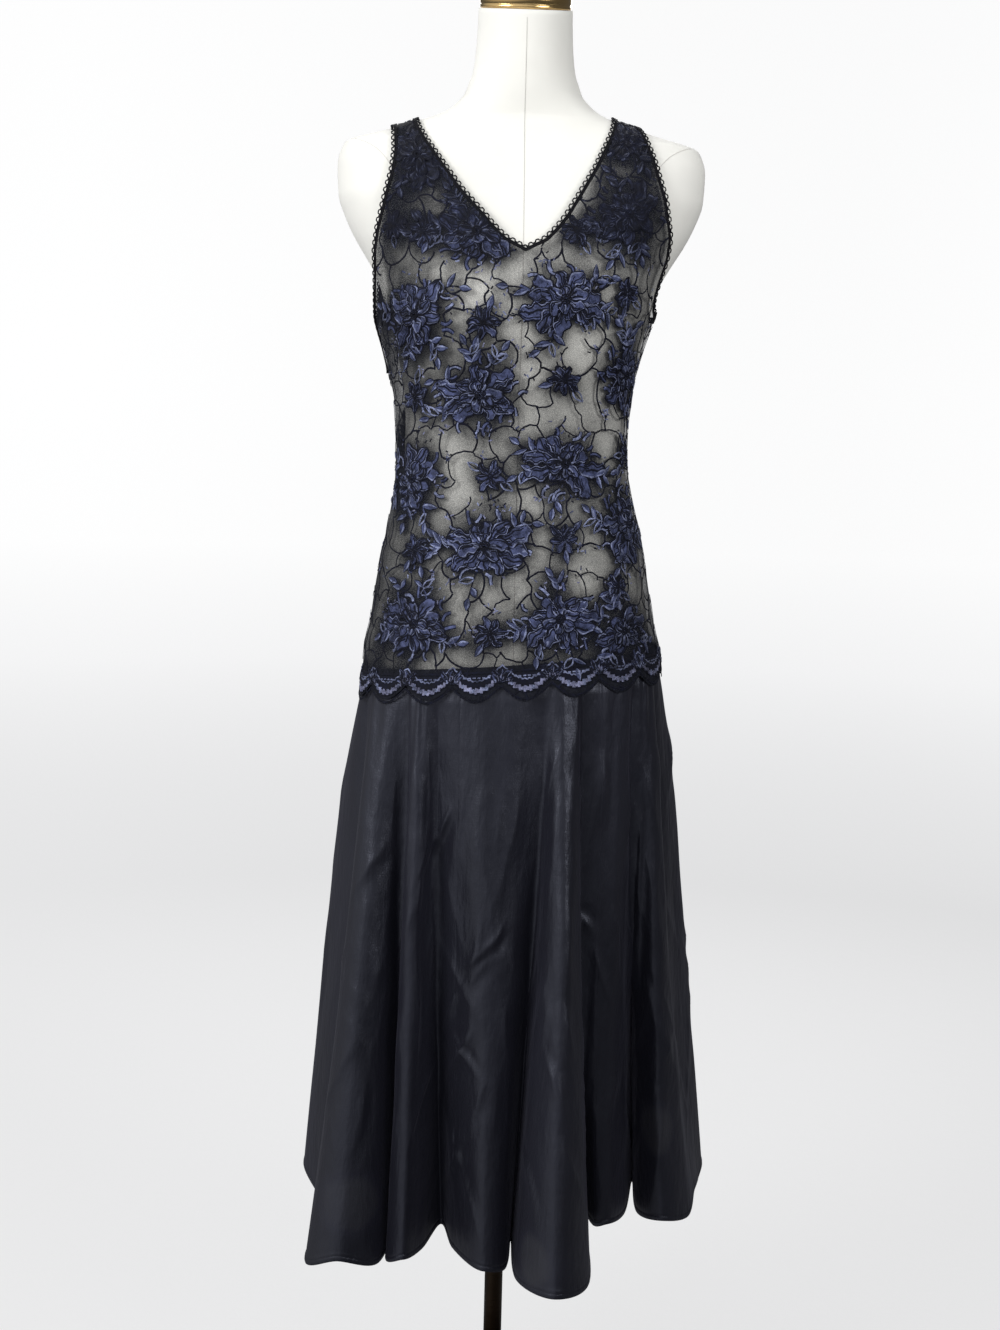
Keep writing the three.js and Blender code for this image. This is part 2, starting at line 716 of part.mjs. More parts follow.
function seamPoint(index, t) {
  const before = index === 0 ? FOLDS.at(-1).topAngle - 360 : FOLDS[index - 1].topAngle;
  const angle = THREE.MathUtils.degToRad(THREE.MathUtils.lerp(before, FOLDS[index].topAngle, t));
  const ripple = SKIRT_TOP_RIPPLE * Math.cos(Math.PI * t) ** 2;
  const level = sectionPoint(clothSection(SKIRT_SEAM_HEIGHT), angle, SKIRT_SEAM_HEIGHT);
  const height = seamHeight(level.x);
  const section = clothSection(height);
  for (const size of ["side", "front", "back"]) section[size] -= SKIRT_INSET + ripple;
  return sectionPoint(section, angle, height);
}

function skirtPoint(index, t, share) {
  const seam = seamPoint(index, t);
  const hem = hemPoint(index, t);
  const hemHeight = SKIRT_HEM_HEIGHT + SKIRT_HEM_SLOPE_X * hem.x + SKIRT_HEM_SLOPE_Y * hem.y;
  const height = THREE.MathUtils.lerp(seam.z, hemHeight, share);
  const top = flared(seam.clone(), seam.z - height);
  const free = Math.max(0, share - COVERED_SHARE) / (1 - COVERED_SHARE);
  const open = THREE.MathUtils.lerp(free ** VALLEY_FALL, free ** FOLDS[index].fall, foldLift(t));
  return new THREE.Vector3(
    THREE.MathUtils.lerp(top.x, hem.x, open),
    THREE.MathUtils.lerp(top.y, hem.y, open),
    height,
  );
}

// All the skirt's columns in order round the body, from the first gore's first seam.
function skirtColumns() {
  const columns = [];
  FOLDS.forEach((fold, index) => {
    for (let step = 0; step < FOLD_COLUMNS; step += 1) {
      const column = GORE_SEAM_COLUMN + step;
      const place = (index + Math.floor(column / FOLD_COLUMNS)) % FOLDS.length;
      const t = (column % FOLD_COLUMNS) / FOLD_COLUMNS;
      columns.push({ gore: fold.gore, points: SKIRT_ROWS.map((share) => skirtPoint(place, t, share)) });
    }
  });
  return columns;
}

// Each gore is cut out of the whole skirt, so neighbours have the same normals where they meet.
function skirtGores() {
  const columns = skirtColumns();
  const closed = [...columns, columns[0]];
  const rowsOf = (run) => SKIRT_ROWS.map((share, row) => run.map(({ points }) => points[row]));
  const whole = newSheet();
  addGrid(whole, rowsOf(closed), true);
  const wholeNormals = sheetNormals(whole);
  const gores = {};
  for (const gore of new Set(FOLDS.map((fold) => fold.gore))) {
    const first = columns.findIndex((column) => column.gore === gore);
    const count = columns.filter((column) => column.gore === gore).length;
    const rows = rowsOf(closed.slice(first, first + count + 1));
    const normals = rows.flat().map((point) => wholeNormals[sheetIndex(whole, point)]);
    const inset = rows.map((points, row) => points.map((point, column) => {
      if (column > 0 && column < count) return point;
      const above = rows[Math.max(0, row - 1)][column];
      const below = rows[Math.min(rows.length - 1, row + 1)][column];
      const seam = below.clone().sub(above).normalize();
      const inward = points[column === 0 ? 1 : count - 1].clone().sub(point);
      inward.addScaledVector(seam, -inward.dot(seam)).setLength(SEAM_GAP / 2);
      return point.clone().add(inward);
    }));
    const sheet = newSheet();
    addGrid(sheet, inset, true);
    const order = inset.flat();
    const ownNormals = sheet.points.map((point) => normals[order.indexOf(point)]);
    gores[gore] = wall(sheet, -SATIN_WALL, 0, ownNormals);
  }
  return gores;
}

// ---------------------------------------------------------------- materials and the finished group
function finish(color, roughness, metalness) {
  return new THREE.MeshStandardMaterial({ color, roughness, metalness });
}

const LINEN = finish(0xf4f2ec, 0.9, 0);
const BRASS = finish(0xb98a3e, 0.25, 1);
const BRONZE = finish(0x3a2c22, 0.35, 0.9);
const LACE = finish(0x1c2238, 0.8, 0);
const PICOT = finish(0x11131d, 0.8, 0);
const SATIN = finish(0x1d202d, 0.45, 0);

const dress = new THREE.Group();

function addPiece(name, geometry, material) {
  const piece = new THREE.Mesh(geometry, material);
  piece.name = name;
  dress.add(piece);
}

addPiece("stand_base", standBase(), BRONZE);
addPiece("stand_collar", standCollar(), BRONZE);
addPiece("stand_pole", pole(), BRONZE);
addPiece("form_torso", formTorso(), LINEN);
addPiece("form_neck_cap", neckCap(), BRASS);
addPiece("bodice_front", bodicePanel("front"), LACE);
addPiece("bodice_back", bodicePanel("back"), LACE);
addPiece("neck_edging_front", neckEdging("front"), PICOT);
addPiece("neck_edging_back", neckEdging("back"), PICOT);
addPiece("armhole_edging_left", armholeEdging("left"), PICOT);
addPiece("armhole_edging_right", armholeEdging("right"), PICOT);
for (const [gore, geometry] of Object.entries(skirtGores())) {
  addPiece(`skirt_${gore}`, geometry, SATIN);
}

export default dress;
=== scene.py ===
"""The looks of a lace maxi dress on its limbless dress form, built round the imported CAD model.

Lengths are millimetres, and MM brings a finished mesh to metres. The front faces -Y, +X is on the right of
someone who looks at the front, and heights are above the base's underside.
"""

import math

import bpy
import numpy as np
from mathutils import Matrix, Vector


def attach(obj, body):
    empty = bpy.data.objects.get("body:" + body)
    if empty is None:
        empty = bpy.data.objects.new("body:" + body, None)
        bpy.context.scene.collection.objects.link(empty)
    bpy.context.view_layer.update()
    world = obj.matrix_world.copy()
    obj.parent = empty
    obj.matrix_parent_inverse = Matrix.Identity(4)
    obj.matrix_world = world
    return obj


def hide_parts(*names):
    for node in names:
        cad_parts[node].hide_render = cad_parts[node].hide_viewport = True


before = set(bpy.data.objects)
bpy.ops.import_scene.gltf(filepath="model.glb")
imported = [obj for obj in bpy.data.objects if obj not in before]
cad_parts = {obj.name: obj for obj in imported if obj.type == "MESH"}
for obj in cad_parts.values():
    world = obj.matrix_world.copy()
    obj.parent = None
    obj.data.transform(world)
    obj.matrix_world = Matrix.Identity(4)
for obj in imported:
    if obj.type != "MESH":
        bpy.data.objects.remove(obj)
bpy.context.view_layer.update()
MM = 0.001
BODY = "root"

# ---------------------------------------------------------------- dimensions shared with the CAD
SEAM_GAP = 0.3
CENTRE_X = 2
HEM_SLOPE = 0.088
CUSP_HEIGHT = 877
SCALLOP_DEPTH = 15
SCALLOP_PITCH = 50
SCALLOP_PHASE = 12
SKIRT_SEAM_HEIGHT = 896
LACE_FLARE = 5
SKIRT_HEM_HEIGHT = 280
SKIRT_HEM_SLOPE_X = 0.018
SKIRT_HEM_SLOPE_Y = 0.03
SKIRT_INSET = 1.9
SKIRT_TOP_RIPPLE = 1.5
FOLD_FULLNESS = 3
VALLEY_FALL = 1.6
COVERED_SHARE = 0.055
UNDERARM_ROW_HEIGHT = 1200
NECK_TILT = 0.268
NECK_TILT_START = 1485
NECK_TOP = 1562
CAP_HEIGHT = 15
CAP_RADIUS = 47
CAP_ROUND = 6
POLE_RADIUS = 10
BASE_RADIUS = 150
BASE_THICKNESS = 12
BASE_EDGE = 3
COLLAR_RADIUS = 17
COLLAR_HEIGHT = 34
FORM_FOOT = 772
FRONT = -1
BACK = 1
LEFT = -1
RIGHT = 1

SECTION_NAMES = ["side", "front", "back", "power", "ease_side", "ease_front", "ease_back", "shift"]
SECTIONS = np.array([
    [772, 108, 72, 84, 2.2, 8, 6.5, 6.5, 3],
    [790, 127, 86, 99, 2.2, 8, 6.5, 6.5, 3],
    [820, 142, 98, 111, 2.2, 8, 6.5, 6.5, 3],
    [850, 149, 105, 117, 2.2, 8, 6.5, 6.5, 3],
    [880, 151, 107, 118, 2.2, 8, 6.5, 6.5, 3],
    [905, 151, 107, 116, 2.2, 6, 6.5, 6.5, 2.5],
    [930, 147, 106, 111, 2.2, 4, 5, 5, 2],
    [975, 140, 103, 100, 2.2, 4, 4, 4, 1],
    [1018, 132, 98, 88, 2.2, 4, 4, 5, 1],
    [1060, 123.5, 91, 79, 2.2, 3.5, 4, 6, -0.5],
    [1102, 116.5, 85, 74, 2.2, 5, 5, 6, -2],
    [1134, 115.5, 86, 75, 2.2, 6.5, 5, 6, -3.5],
    [1165, 117, 91, 79, 2.2, 7, 5, 6, -4],
    [1186, 120, 97, 83, 2.2, 8, 5, 6, -5],
    [1215, 126.5, 107, 88, 2.2, 8.5, 4, 5, -5],
    [1245, 135.5, 114, 92, 2.2, 9.5, 4, 4, -5],
    [1285, 147, 110, 95, 2.25, 12, 5, 4, -3],
    [1305, 158, 104, 96, 2.3, 9, 6, 3, -2],
    [1326, 171, 97, 97, 2.35, 5, 6, 3, -1],
    [1346, 181, 90, 96, 2.4, 4, 6, 3, 0],
    [1370, 189, 81, 92, 2.5, 3, 5, 3, 0],
    [1400, 190.5, 69, 83, 2.5, 2.5, 3, 2.5, 0],
    [1422, 184, 57, 70, 2.4, 2, 2, 2, 0],
    [1437, 137, 50, 64, 2.3, 4, 2, 2, 0],
    [1444, 115, 47, 60, 2.3, 4, 2, 2, 0],
    [1449, 99, 46, 58, 2.2, 4, 2, 2, 0],
    [1458, 79, 47, 56, 2.1, 4, 2, 2, 0],
    [1466, 69, 48, 54, 2.05, 2, 2, 2, 0],
    [1475, 61, 49, 52, 2, 2, 2, 2, 0],
    [1485, 57, 49, 50, 2, 2, 2, 2, 0],
    [1500, 52.5, 49, 49, 2, 2, 2, 2, 0],
    [1530, 49.5, 48.5, 48.5, 2, 2, 2, 2, 0],
    [NECK_TOP, 48.5, 48.5, 48.5, 2, 2, 2, 2, 0],
])

# Height, then the distance from the centre to the left and to the right.
NECK = {
    FRONT: np.array([
        [1305, 0, 0], [1316, 21, 21], [1328, 33, 32], [1340, 43, 41], [1352, 54, 48],
        [1365, 65.5, 55.5], [1391, 84, 70], [1417, 101.5, 82], [1432, 110, 88.5], [1447, 114, 93],
    ]),
    BACK: np.array([
        [1350, 0, 0], [1353, 32, 26], [1364, 60, 48], [1384, 80, 64], [1408, 96, 76],
        [1432, 109, 86], [1447, 114, 93],
    ]),
}
# Height, then the distance from x = 0.
ARMHOLE = {
    LEFT: np.array([
        [1190, 160], [1196, 139], [1215, 143], [1240, 147], [1280, 146], [1307, 146.5], [1326, 144],
        [1345, 139.5], [1365, 135], [1386, 130], [1407, 128], [1430, 129.5], [1440, 131],
    ]),
    RIGHT: np.array([
        [1250, 160], [1252, 139], [1258, 135.5], [1270, 136], [1287, 140], [1307, 146], [1326, 148],
        [1345, 144.5], [1365, 141], [1386, 134.5], [1407, 128.5], [1430, 120], [1442, 114],
    ]),
}
ARM_SHARE_AT_NECK = {FRONT: 0.42, BACK: 0.6}

# Gore, left flank, crest, right flank and valley at the hem (x, y), the valley's angle at the seam, and the
# power that the crest opens with.
FOLDS = [
    ("side_left", -198, 136, -222, 112, -204, 48, -178, -12, -74, 0.78),
    ("front_left", -202, -103, -165, -140, -126, -117, -112, -72, -50, 0.95),
    ("front_left", -117, -112, -99, -130, -80, -96, -60, -55, -30, 1),
    ("front_centre", -47, -98, -16, -149, 6, -135, 14, -86, 4, 1.05),
    ("front_centre", 18, -150, 54, -205, 90, -165, 97, -25, 27, 1.05),
    ("front_right", 107, -46, 120, -50, 143, -10, 158, 52, 52, 1.05),
    ("front_right", 158, -6, 181, -43, 215, -8, 227, 32, 72, 0.95),
    ("side_right", 237, 70, 245, 106, 224, 132, 184, 124, 104, 0.9),
    ("back_right", 196, 160, 182, 182, 152, 176, 134, 142, 133, 1),
    ("back_right", 128, 190, 104, 214, 78, 196, 62, 152, 162, 1),
    ("back_centre", 48, 194, 16, 214, -16, 192, -28, 150, 192, 1),
    ("back_left", -44, 196, -74, 216, -100, 184, -108, 142, 221, 1),
    ("back_left", -132, 180, -162, 186, -180, 152, -170, 112, 250, 0.95),
]


# ---------------------------------------------------------------- reading the tables
def smooth_curve(places, values):
    """A smooth function through the values, without overshoot between them."""
    places = np.asarray(places, float)
    values = np.asarray(values, float)
    steps = np.diff(values) / np.diff(places)
    slopes = np.zeros(len(places))
    product = steps[:-1] * steps[1:]
    rising = product > 0
    slopes[1:-1][rising] = 2 * product[rising] / (steps[:-1] + steps[1:])[rising]

    def at(place):
        place = np.asarray(place, float)
        upper = np.clip(np.searchsorted(places, place), 1, len(places) - 1)
        lower = upper - 1
        span = places[upper] - places[lower]
        t = np.clip((place - places[lower]) / span, 0, 1)
        rise = t * t * (3 - 2 * t)
        leave = t * (1 - t) ** 2 * span * slopes[lower]
        arrive = t * t * (t - 1) * span * slopes[upper]
        return values[lower] * (1 - rise) + values[upper] * rise + leave + arrive

    return at


def smoothstep(value, low, high):
    t = np.clip((value - low) / (high - low), 0, 1)
    return t * t * (3 - 2 * t)


def lerp(a, b, t):
    return a + (b - a) * t


SECTION = {
    name: smooth_curve(SECTIONS[:, 0], SECTIONS[:, column + 1])
    for column, name in enumerate(SECTION_NAMES)
}


def form_section(height):
    """The form's level section: half width, depths, power of its curve and shift along x."""
    section = {name: SECTION[name](height) for name in ("side", "front", "back", "power")}
    section["shift"] = np.zeros_like(section["side"])
    return section


def cloth_section(height):
    """The same for the lace over the form."""
    section = form_section(height)
    for size in ("side", "front", "back"):
        section[size] = section[size] + SECTION["ease_" + size](height)
    section["shift"] = SECTION["shift"](height)
    return section


def section_point(section, angle, height):
    """A point of a level section, at an angle from the front that turns towards +X."""
    across, forward = np.sin(angle), np.cos(angle)
    depth = np.where(forward > 0, section["front"], section["back"])
    power = 2 / section["power"]
    x = section["shift"] + section["side"] * np.sign(across) * np.abs(across) ** power
    y = -depth * np.sign(forward) * np.abs(forward) ** power
    return np.stack(np.broadcast_arrays(x, y, height), -1)


def seam_height(x):
    return SKIRT_SEAM_HEIGHT + HEM_SLOPE * x


def unit(vectors):
    return vectors / np.maximum(np.linalg.norm(vectors, axis=-1, keepdims=True), 1e-9)


def path_lengths(path):
    """How far along a path each of its points lies."""
    return np.concatenate([[0], np.cumsum(np.linalg.norm(np.diff(path, axis=0), axis=1))])


def path_values(wanted, lengths, values):
    """The values that belong to the wanted lengths along a path."""
    return np.stack([np.interp(wanted, lengths, column) for column in values.T], -1)


def flat_across(path):
    """The direction across a flat path at each of its points."""
    along = unit(np.gradient(path, axis=0))
    return np.stack([-along[:, 1], along[:, 0]], 1)


def flared(points, drop):
    """Moves points outward in proportion to their drop below the seam, as far as the lowest scallops."""
    section = cloth_section(SKIRT_SEAM_HEIGHT)
    depth = np.where(points[..., 1] < 0, section["front"], section["back"])
    overhang = SKIRT_SEAM_HEIGHT - CUSP_HEIGHT + SCALLOP_DEPTH
    flare = LACE_FLARE * np.clip(drop / overhang, 0, 1)
    outward = np.stack([points[..., 0] / section["side"] ** 2, points[..., 1] / depth**2, 0 * drop], -1)
    return points + unit(outward) * flare[..., None]


def panel_place(section_of, x, level, turn):
    """The point over x on the front or back of a level section, with the direction off its face."""
    section, above = section_of(level), section_of(level + 1)
    size = "front" if turn == FRONT else "back"
    power = section["power"]
    offset = x - section["shift"]
    share = np.clip(np.abs(offset) / section["side"], 0, 1)
    forward = (1 - share**power) ** (1 / power)
    points = np.stack([section["shift"] + np.sign(offset) * share * section["side"],
                       turn * section[size] * forward, level], -1)
    growth = share**power * (above["side"] / section["side"] - 1)
    growth = growth + forward**power * (above[size] / section[size] - 1)
    normals = np.stack([np.sign(offset) * share ** (power - 1) / section["side"],
                        turn * forward ** (power - 1) / section[size], -growth], -1)
    return points, normals


# ---------------------------------------------------------------- the lace as a surface
def cloth_place(x, z, turn):
    """The lace's point and outward normal over a place (x, z) on its front or back."""
    x, z = np.broadcast_arrays(np.asarray(x, float), np.asarray(z, float))
    points, normals = panel_place(cloth_section, x, np.maximum(z, seam_height(x)), turn)
    drop = seam_height(points[..., 0]) - z
    points[..., 1] += turn * SEAM_GAP / 2
    points[..., 2] = z
    normals[..., 2] *= drop < 0
    return flared(points, drop), unit(normals)


# Soft folds where the lace bunches: x and height of the upper end, of the lower end, width and height.
BUNCHES = {
    FRONT: [
        (-112, 1176, -106, 1046, 5, 3.2), (-99, 1150, -92, 1030, 6, 2.2), (-121, 1120, -118, 1010, 4, 2.4),
        (-86, 1118, -78, 1062, 5, 1.3), (-126, 1010, -134, 925, 6, 2.0), (-110, 1000, -117, 905, 7, 1.6),
        (96, 1190, 101, 1080, 6, 2.6), (110, 1150, 113, 1010, 5, 3.0), (84, 1130, 88, 1050, 5, 1.5),
        (118, 1060, 128, 940, 6, 2.2), (104, 1010, 110, 915, 7, 1.5), (-128, 1290, -118, 1205, 6, 1.6),
        (126, 1300, 117, 1225, 6, 2.0), (-40, 1120, -36, 1085, 7, 0.8), (64, 1010, 70, 950, 8, 0.9),
        (112, 1410, 122, 1330, 6, 1.4), (-118, 1400, -124, 1340, 6, 1.2),
    ],
    BACK: [
        (-104, 1180, -96, 1050, 6, 2.8), (-84, 1160, -78, 1040, 7, 2.0), (-115, 1090, -121, 985, 5, 2.4),
        (-58, 1150, -55, 1075, 7, 1.4), (98, 1175, 92, 1060, 6, 2.6), (80, 1140, 82, 1030, 6, 1.8),
        (112, 1080, 121, 960, 6, 2.4), (50, 1160, 54, 1090, 7, 1.3), (8, 1130, 4, 1060, 8, 1.2),
        (-122, 1290, -112, 1215, 6, 1.8), (120, 1305, 111, 1235, 6, 1.7), (-30, 1010, -36, 950, 8, 0.9),
    ],
}


def bunching(x, z, turn):
    """How far the soft folds lift the lace."""
    lift = np.zeros(np.shape(x))
    for top_x, top_z, low_x, low_z, width, height in BUNCHES[turn]:
        along = (z - low_z) / (top_z - low_z)
        middle = lerp(low_x, top_x, along) + 2 * np.sin(5 * along)
        fade = smoothstep(along, -0.15, 0.35) * (1 - smoothstep(along, 0.6, 1.15))
        across = (x - middle) / width
        lift = lift + height * fade * (np.exp(-(across**2)) - 0.35 * np.exp(-((across - 1.8) ** 2)))
    return lift


def lace_point(x, z, turn, lift):
    points, normals = cloth_place(x, z, turn)
    x = points[..., 0]
    return points + normals * (lift + bunching(x, z, turn))[..., None], normals


class ClothMap:
    """Turns a distance along the cloth from its middle, and a height, into x, so motifs keep their size."""

    STEP = 1.5
    SPREAD = np.arange(-300.0, 301.0, STEP)
    HEIGHTS = np.concatenate([np.arange(836.0, 1400, 4), np.arange(1400.0, 1455, 1)])
    ANGLES = np.linspace(-math.pi / 2, math.pi / 2, 361)

    def __init__(self, turn):
        turned = self.ANGLES if turn == FRONT else math.pi - self.ANGLES
        self.x, self.ends = [], []
        for height in self.HEIGHTS:
            level = max(height, SKIRT_SEAM_HEIGHT)
            ring = section_point(cloth_section(level), turned, level)
            arc = path_lengths(ring[:, :2])
            arc -= np.interp(CENTRE_X, ring[:, 0], arc)
            self.x.append(np.interp(self.SPREAD, arc, ring[:, 0]))
            self.ends.append((arc[0], arc[-1]))
        self.x = np.array(self.x)
        self.ends = np.array(self.ends)

    def row(self, z):
        """The row of the table that belongs to a height, with the share past it."""
        return np.interp(z, self.HEIGHTS, np.arange(len(self.HEIGHTS)))

    def to_x(self, s, z):
        row = self.row(z)
        column = np.clip((s - self.SPREAD[0]) / self.STEP, 0, len(self.SPREAD) - 1.001)
        low_row = np.minimum(row.astype(int), len(self.HEIGHTS) - 2)
        low_column = column.astype(int)
        low, high = (lerp(self.x[at, low_column], self.x[at, low_column + 1], column - low_column)
                     for at in (low_row, low_row + 1))
        return lerp(low, high, row - low_row)

    def reach(self, z):
        """The distance from the middle to the left and the right side seam."""
        return tuple(np.interp(z, self.HEIGHTS, self.ends[:, end]) for end in (0, 1))

    def from_x(self, x, z):
        """The distances along the cloth of places given by x and height."""
        x = np.asarray(x, float)
        rows = np.round(self.row(z)).astype(int)
        s = np.zeros(len(x))
        for row in np.unique(rows):
            inside = np.concatenate([[True], np.diff(self.x[row]) > 1e-6])
            here = rows == row
            s[here] = np.interp(x[here], self.x[row][inside], self.SPREAD[inside])
        return s


MAPS = {turn: ClothMap(turn) for turn in (FRONT, BACK)}


CREST_LOWEST = 1400.0
CREST_HIGHEST = 1456.0
CREST_HALVINGS = 30


def crest_height(reach):
    """Height of the shoulder's crest over a distance from the section's middle."""
    low = np.full(np.shape(reach), CREST_LOWEST)
    high = np.full(np.shape(reach), CREST_HIGHEST)
    for _ in range(CREST_HALVINGS):
        middle = (low + high) / 2
        below = cloth_section(middle)["side"] > reach
        low = np.where(below, middle, low)
        high = np.where(below, high, middle)
    return low


def inside_panel(x, z, turn):
    """Which places are on the lace, and not in the neck or past an armhole."""
    left, right = (np.interp(z, NECK[turn][:, 0], NECK[turn][:, side]) for side in (1, 2))
    out = (z > NECK[turn][0, 0]) & (x > CENTRE_X - left) & (x < CENTRE_X + right)
    for side, rows in ARMHOLE.items():
        arm = np.interp(z, rows[:, 0], rows[:, 1])
        out = out | ((z > rows[0, 0]) & (side * x > arm))
    return ~out


# ---------------------------------------------------------------- meshes
def new_object(name, points, faces, materials, kinds=None):
    mesh = bpy.data.meshes.new(name)
    mesh.from_pydata((points * MM).tolist(), [], faces.tolist())
    for material in materials:
        mesh.materials.append(material)
    if kinds is not None:
        mesh.polygons.foreach_set("material_index", kinds.astype(np.int32))
    mesh.polygons.foreach_set("use_smooth", np.full(len(mesh.polygons), True))
    mesh.update()
    made = bpy.data.objects.new(name, mesh)
    bpy.context.scene.collection.objects.link(made)
    return made


def as_piece(piece, slot, *nodes):
    """Puts a piece on its body and hides the CAD nodes that it stands for. Its slot is not used."""
    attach(piece, BODY)
    if nodes:
        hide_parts(*nodes)
    return piece


def grid_faces(rows, columns, start=0, wrap=False, flip=False):
    row, column = np.meshgrid(np.arange(rows - 1), np.arange(columns if wrap else columns - 1), indexing="ij")
    after = (column + 1) % columns
    corners = [row * columns + column, row * columns + after, (row + 1) * columns + after,
               (row + 1) * columns + column]
    if flip:
        corners.reverse()
    return np.stack([corner.ravel() for corner in corners], 1) + start


class Build:
    """Collects grids of points as one mesh."""

    def __init__(self):
        self.points, self.faces, self.count = [], [], 0

    def grid(self, points, wrap=False, flip=False):
        rows, columns = points.shape[:2]
        self.points.append(points.reshape(-1, 3))
        self.faces.append(grid_faces(rows, columns, self.count, wrap, flip))
        self.count += rows * columns

    def tube(self, path, normals, radius, sides=5):
        """A cord along a path whose normals stand off the cloth."""
        along = unit(np.gradient(path, axis=0))
        across = unit(np.cross(along, normals))
        up = np.cross(across, along)
        turn = np.arange(sides) * 2 * math.pi / sides
        ring = across[:, None] * np.cos(turn)[:, None] + up[:, None] * np.sin(turn)[:, None]
        self.grid(path[:, None] + radius * ring, wrap=True)

    def finish(self, name, material):
        return new_object(name, np.concatenate(self.points), np.concatenate(self.faces), [material])


def revolved(name, profile, material, columns=96, tilt=None):
    """A round piece from its profile, as (radius, height)."""
    turn = np.arange(columns) * 2 * math.pi / columns
    profile = np.asarray(profile, float)
    radius, height = profile[:, :1], profile[:, 1:]
    points = np.stack([radius * np.cos(turn), radius * np.sin(turn), height + 0 * turn], -1)
    build = Build()
    build.grid(tilt(points) if tilt else points, wrap=True)
    return build.finish(name, material)


def rounded_corner(radius, height, size, start, end, steps=6):
    """Points of a quarter round in a profile, about a centre at this radius and height."""
    return [(radius + size * math.cos(a), height + size * math.sin(a))
            for a in np.radians(np.linspace(start, end, steps))]


# ---------------------------------------------------------------- materials
class Shader:
    """A node material with one Principled shader."""

    def __init__(self, name, **values):
        self.material = bpy.data.materials.new(name)
        self.material.use_nodes = True
        self.tree = self.material.node_tree
        self.shader = self.tree.nodes["Principled BSDF"]
        for socket, value in values.items():
            self.shader.inputs[socket.replace("_", " ")].default_value = value
        self.place = self.node("ShaderNodeTexCoord").outputs["Object"]

    def node(self, kind, inputs=None, **settings):
        made = self.tree.nodes.new(kind)
        for key, value in settings.items():
            setattr(made, key, value)
        for key, value in (inputs or {}).items():
            if isinstance(value, bpy.types.NodeSocket):
                self.tree.links.new(value, made.inputs[key])
            else:
                made.inputs[key].default_value = value
        return made

    def math(self, operation, first, second=0.0, clamp=False):
        made = self.node("ShaderNodeMath", {0: first, 1: second}, operation=operation, use_clamp=clamp)
        return made.outputs[0]

    def add(self, *values):
        total = values[0]
        for value in values[1:]:
            total = self.math("ADD", total, value)
        return total

    def axis(self, name):
        return self.node("ShaderNodeSeparateXYZ", {0: self.place}).outputs[name]

    def noise(self, scale, stretch=(1, 1, 1), detail=3.0, roughness=0.55):
        place = self.node("ShaderNodeVectorMath", {0: self.place, 1: stretch}, operation="MULTIPLY")
        inputs = {"Vector": place.outputs[0], "Scale": scale, "Detail": detail, "Roughness": roughness}
        return self.node("ShaderNodeTexNoise", inputs).outputs["Fac"]

    def wave(self, scale, direction, distortion, finer=1.0):
        inputs = {"Vector": self.place, "Scale": scale, "Distortion": distortion, "Detail Scale": finer}
        made = self.node("ShaderNodeTexWave", inputs, wave_type="BANDS", bands_direction=direction)
        return made.outputs["Fac"]

    def span(self, value, low, high, to_low=0.0, to_high=1.0, smooth=True):
        kind = "SMOOTHSTEP" if smooth else "LINEAR"
        inputs = {"Value": value, "From Min": low, "From Max": high, "To Min": to_low, "To Max": to_high}
        return self.node("ShaderNodeMapRange", inputs, interpolation_type=kind).outputs["Result"]

    def ramp(self, value, stops):
        made = self.node("ShaderNodeValToRGB", {"Fac": value})
        elements = made.color_ramp.elements
        while len(elements) < len(stops):
            elements.new(0.5)
        for element, (place, color) in zip(elements, stops):
            element.position = place
            element.color = (*color, 1)
        return made.outputs["Color"]

    def link(self, socket, value):
        self.tree.links.new(value, self.shader.inputs[socket])

    def bump(self, height, distance, strength=0.5):
        inputs = {"Height": height, "Distance": distance, "Strength": strength}
        self.link("Normal", self.node("ShaderNodeBump", inputs).outputs["Normal"])


def linen():
    made = Shader("linen", Sheen_Weight=0.25, Sheen_Roughness=0.6, Specular_IOR_Level=0.2)
    tone = made.noise(9, detail=4)
    made.link("Base Color", made.ramp(tone, [(0.35, (0.83, 0.82, 0.77)), (0.65, (0.88, 0.87, 0.82))]))
    made.link("Roughness", made.span(made.noise(160), 0.3, 0.7, 0.82, 0.95))
    weave = made.math("MULTIPLY", made.wave(620, "X", 0.6), made.wave(620, "Z", 0.6))
    slub = made.noise(70, (1, 1, 6), detail=2)
    made.bump(made.add(weave, slub), 0.0003, 0.35)
    return made.material


def seam_linen():
    made = Shader("linen_seam", Specular_IOR_Level=0.15)
    stitch = made.wave(900, "DIAGONAL", 0.4)
    made.link("Base Color", made.ramp(stitch, [(0.2, (0.60, 0.58, 0.54)), (0.8, (0.80, 0.78, 0.74))]))
    made.link("Roughness", made.span(made.noise(200), 0.3, 0.7, 0.8, 0.95))
    made.bump(stitch, 0.0003, 0.5)
    return made.material


def metal(name, dark, light, roughness, fine):
    made = Shader(name, Metallic=1.0)
    tone = made.noise(14, detail=5)
    made.link("Base Color", made.ramp(tone, [(0.3, dark), (0.7, light)]))
    brushed = made.noise(fine, (1, 1, 12), detail=2)
    made.link("Roughness", made.span(brushed, 0.25, 0.75, roughness * 0.8, roughness * 1.25))
    made.bump(brushed, 0.0001, 0.15)
    return made.material


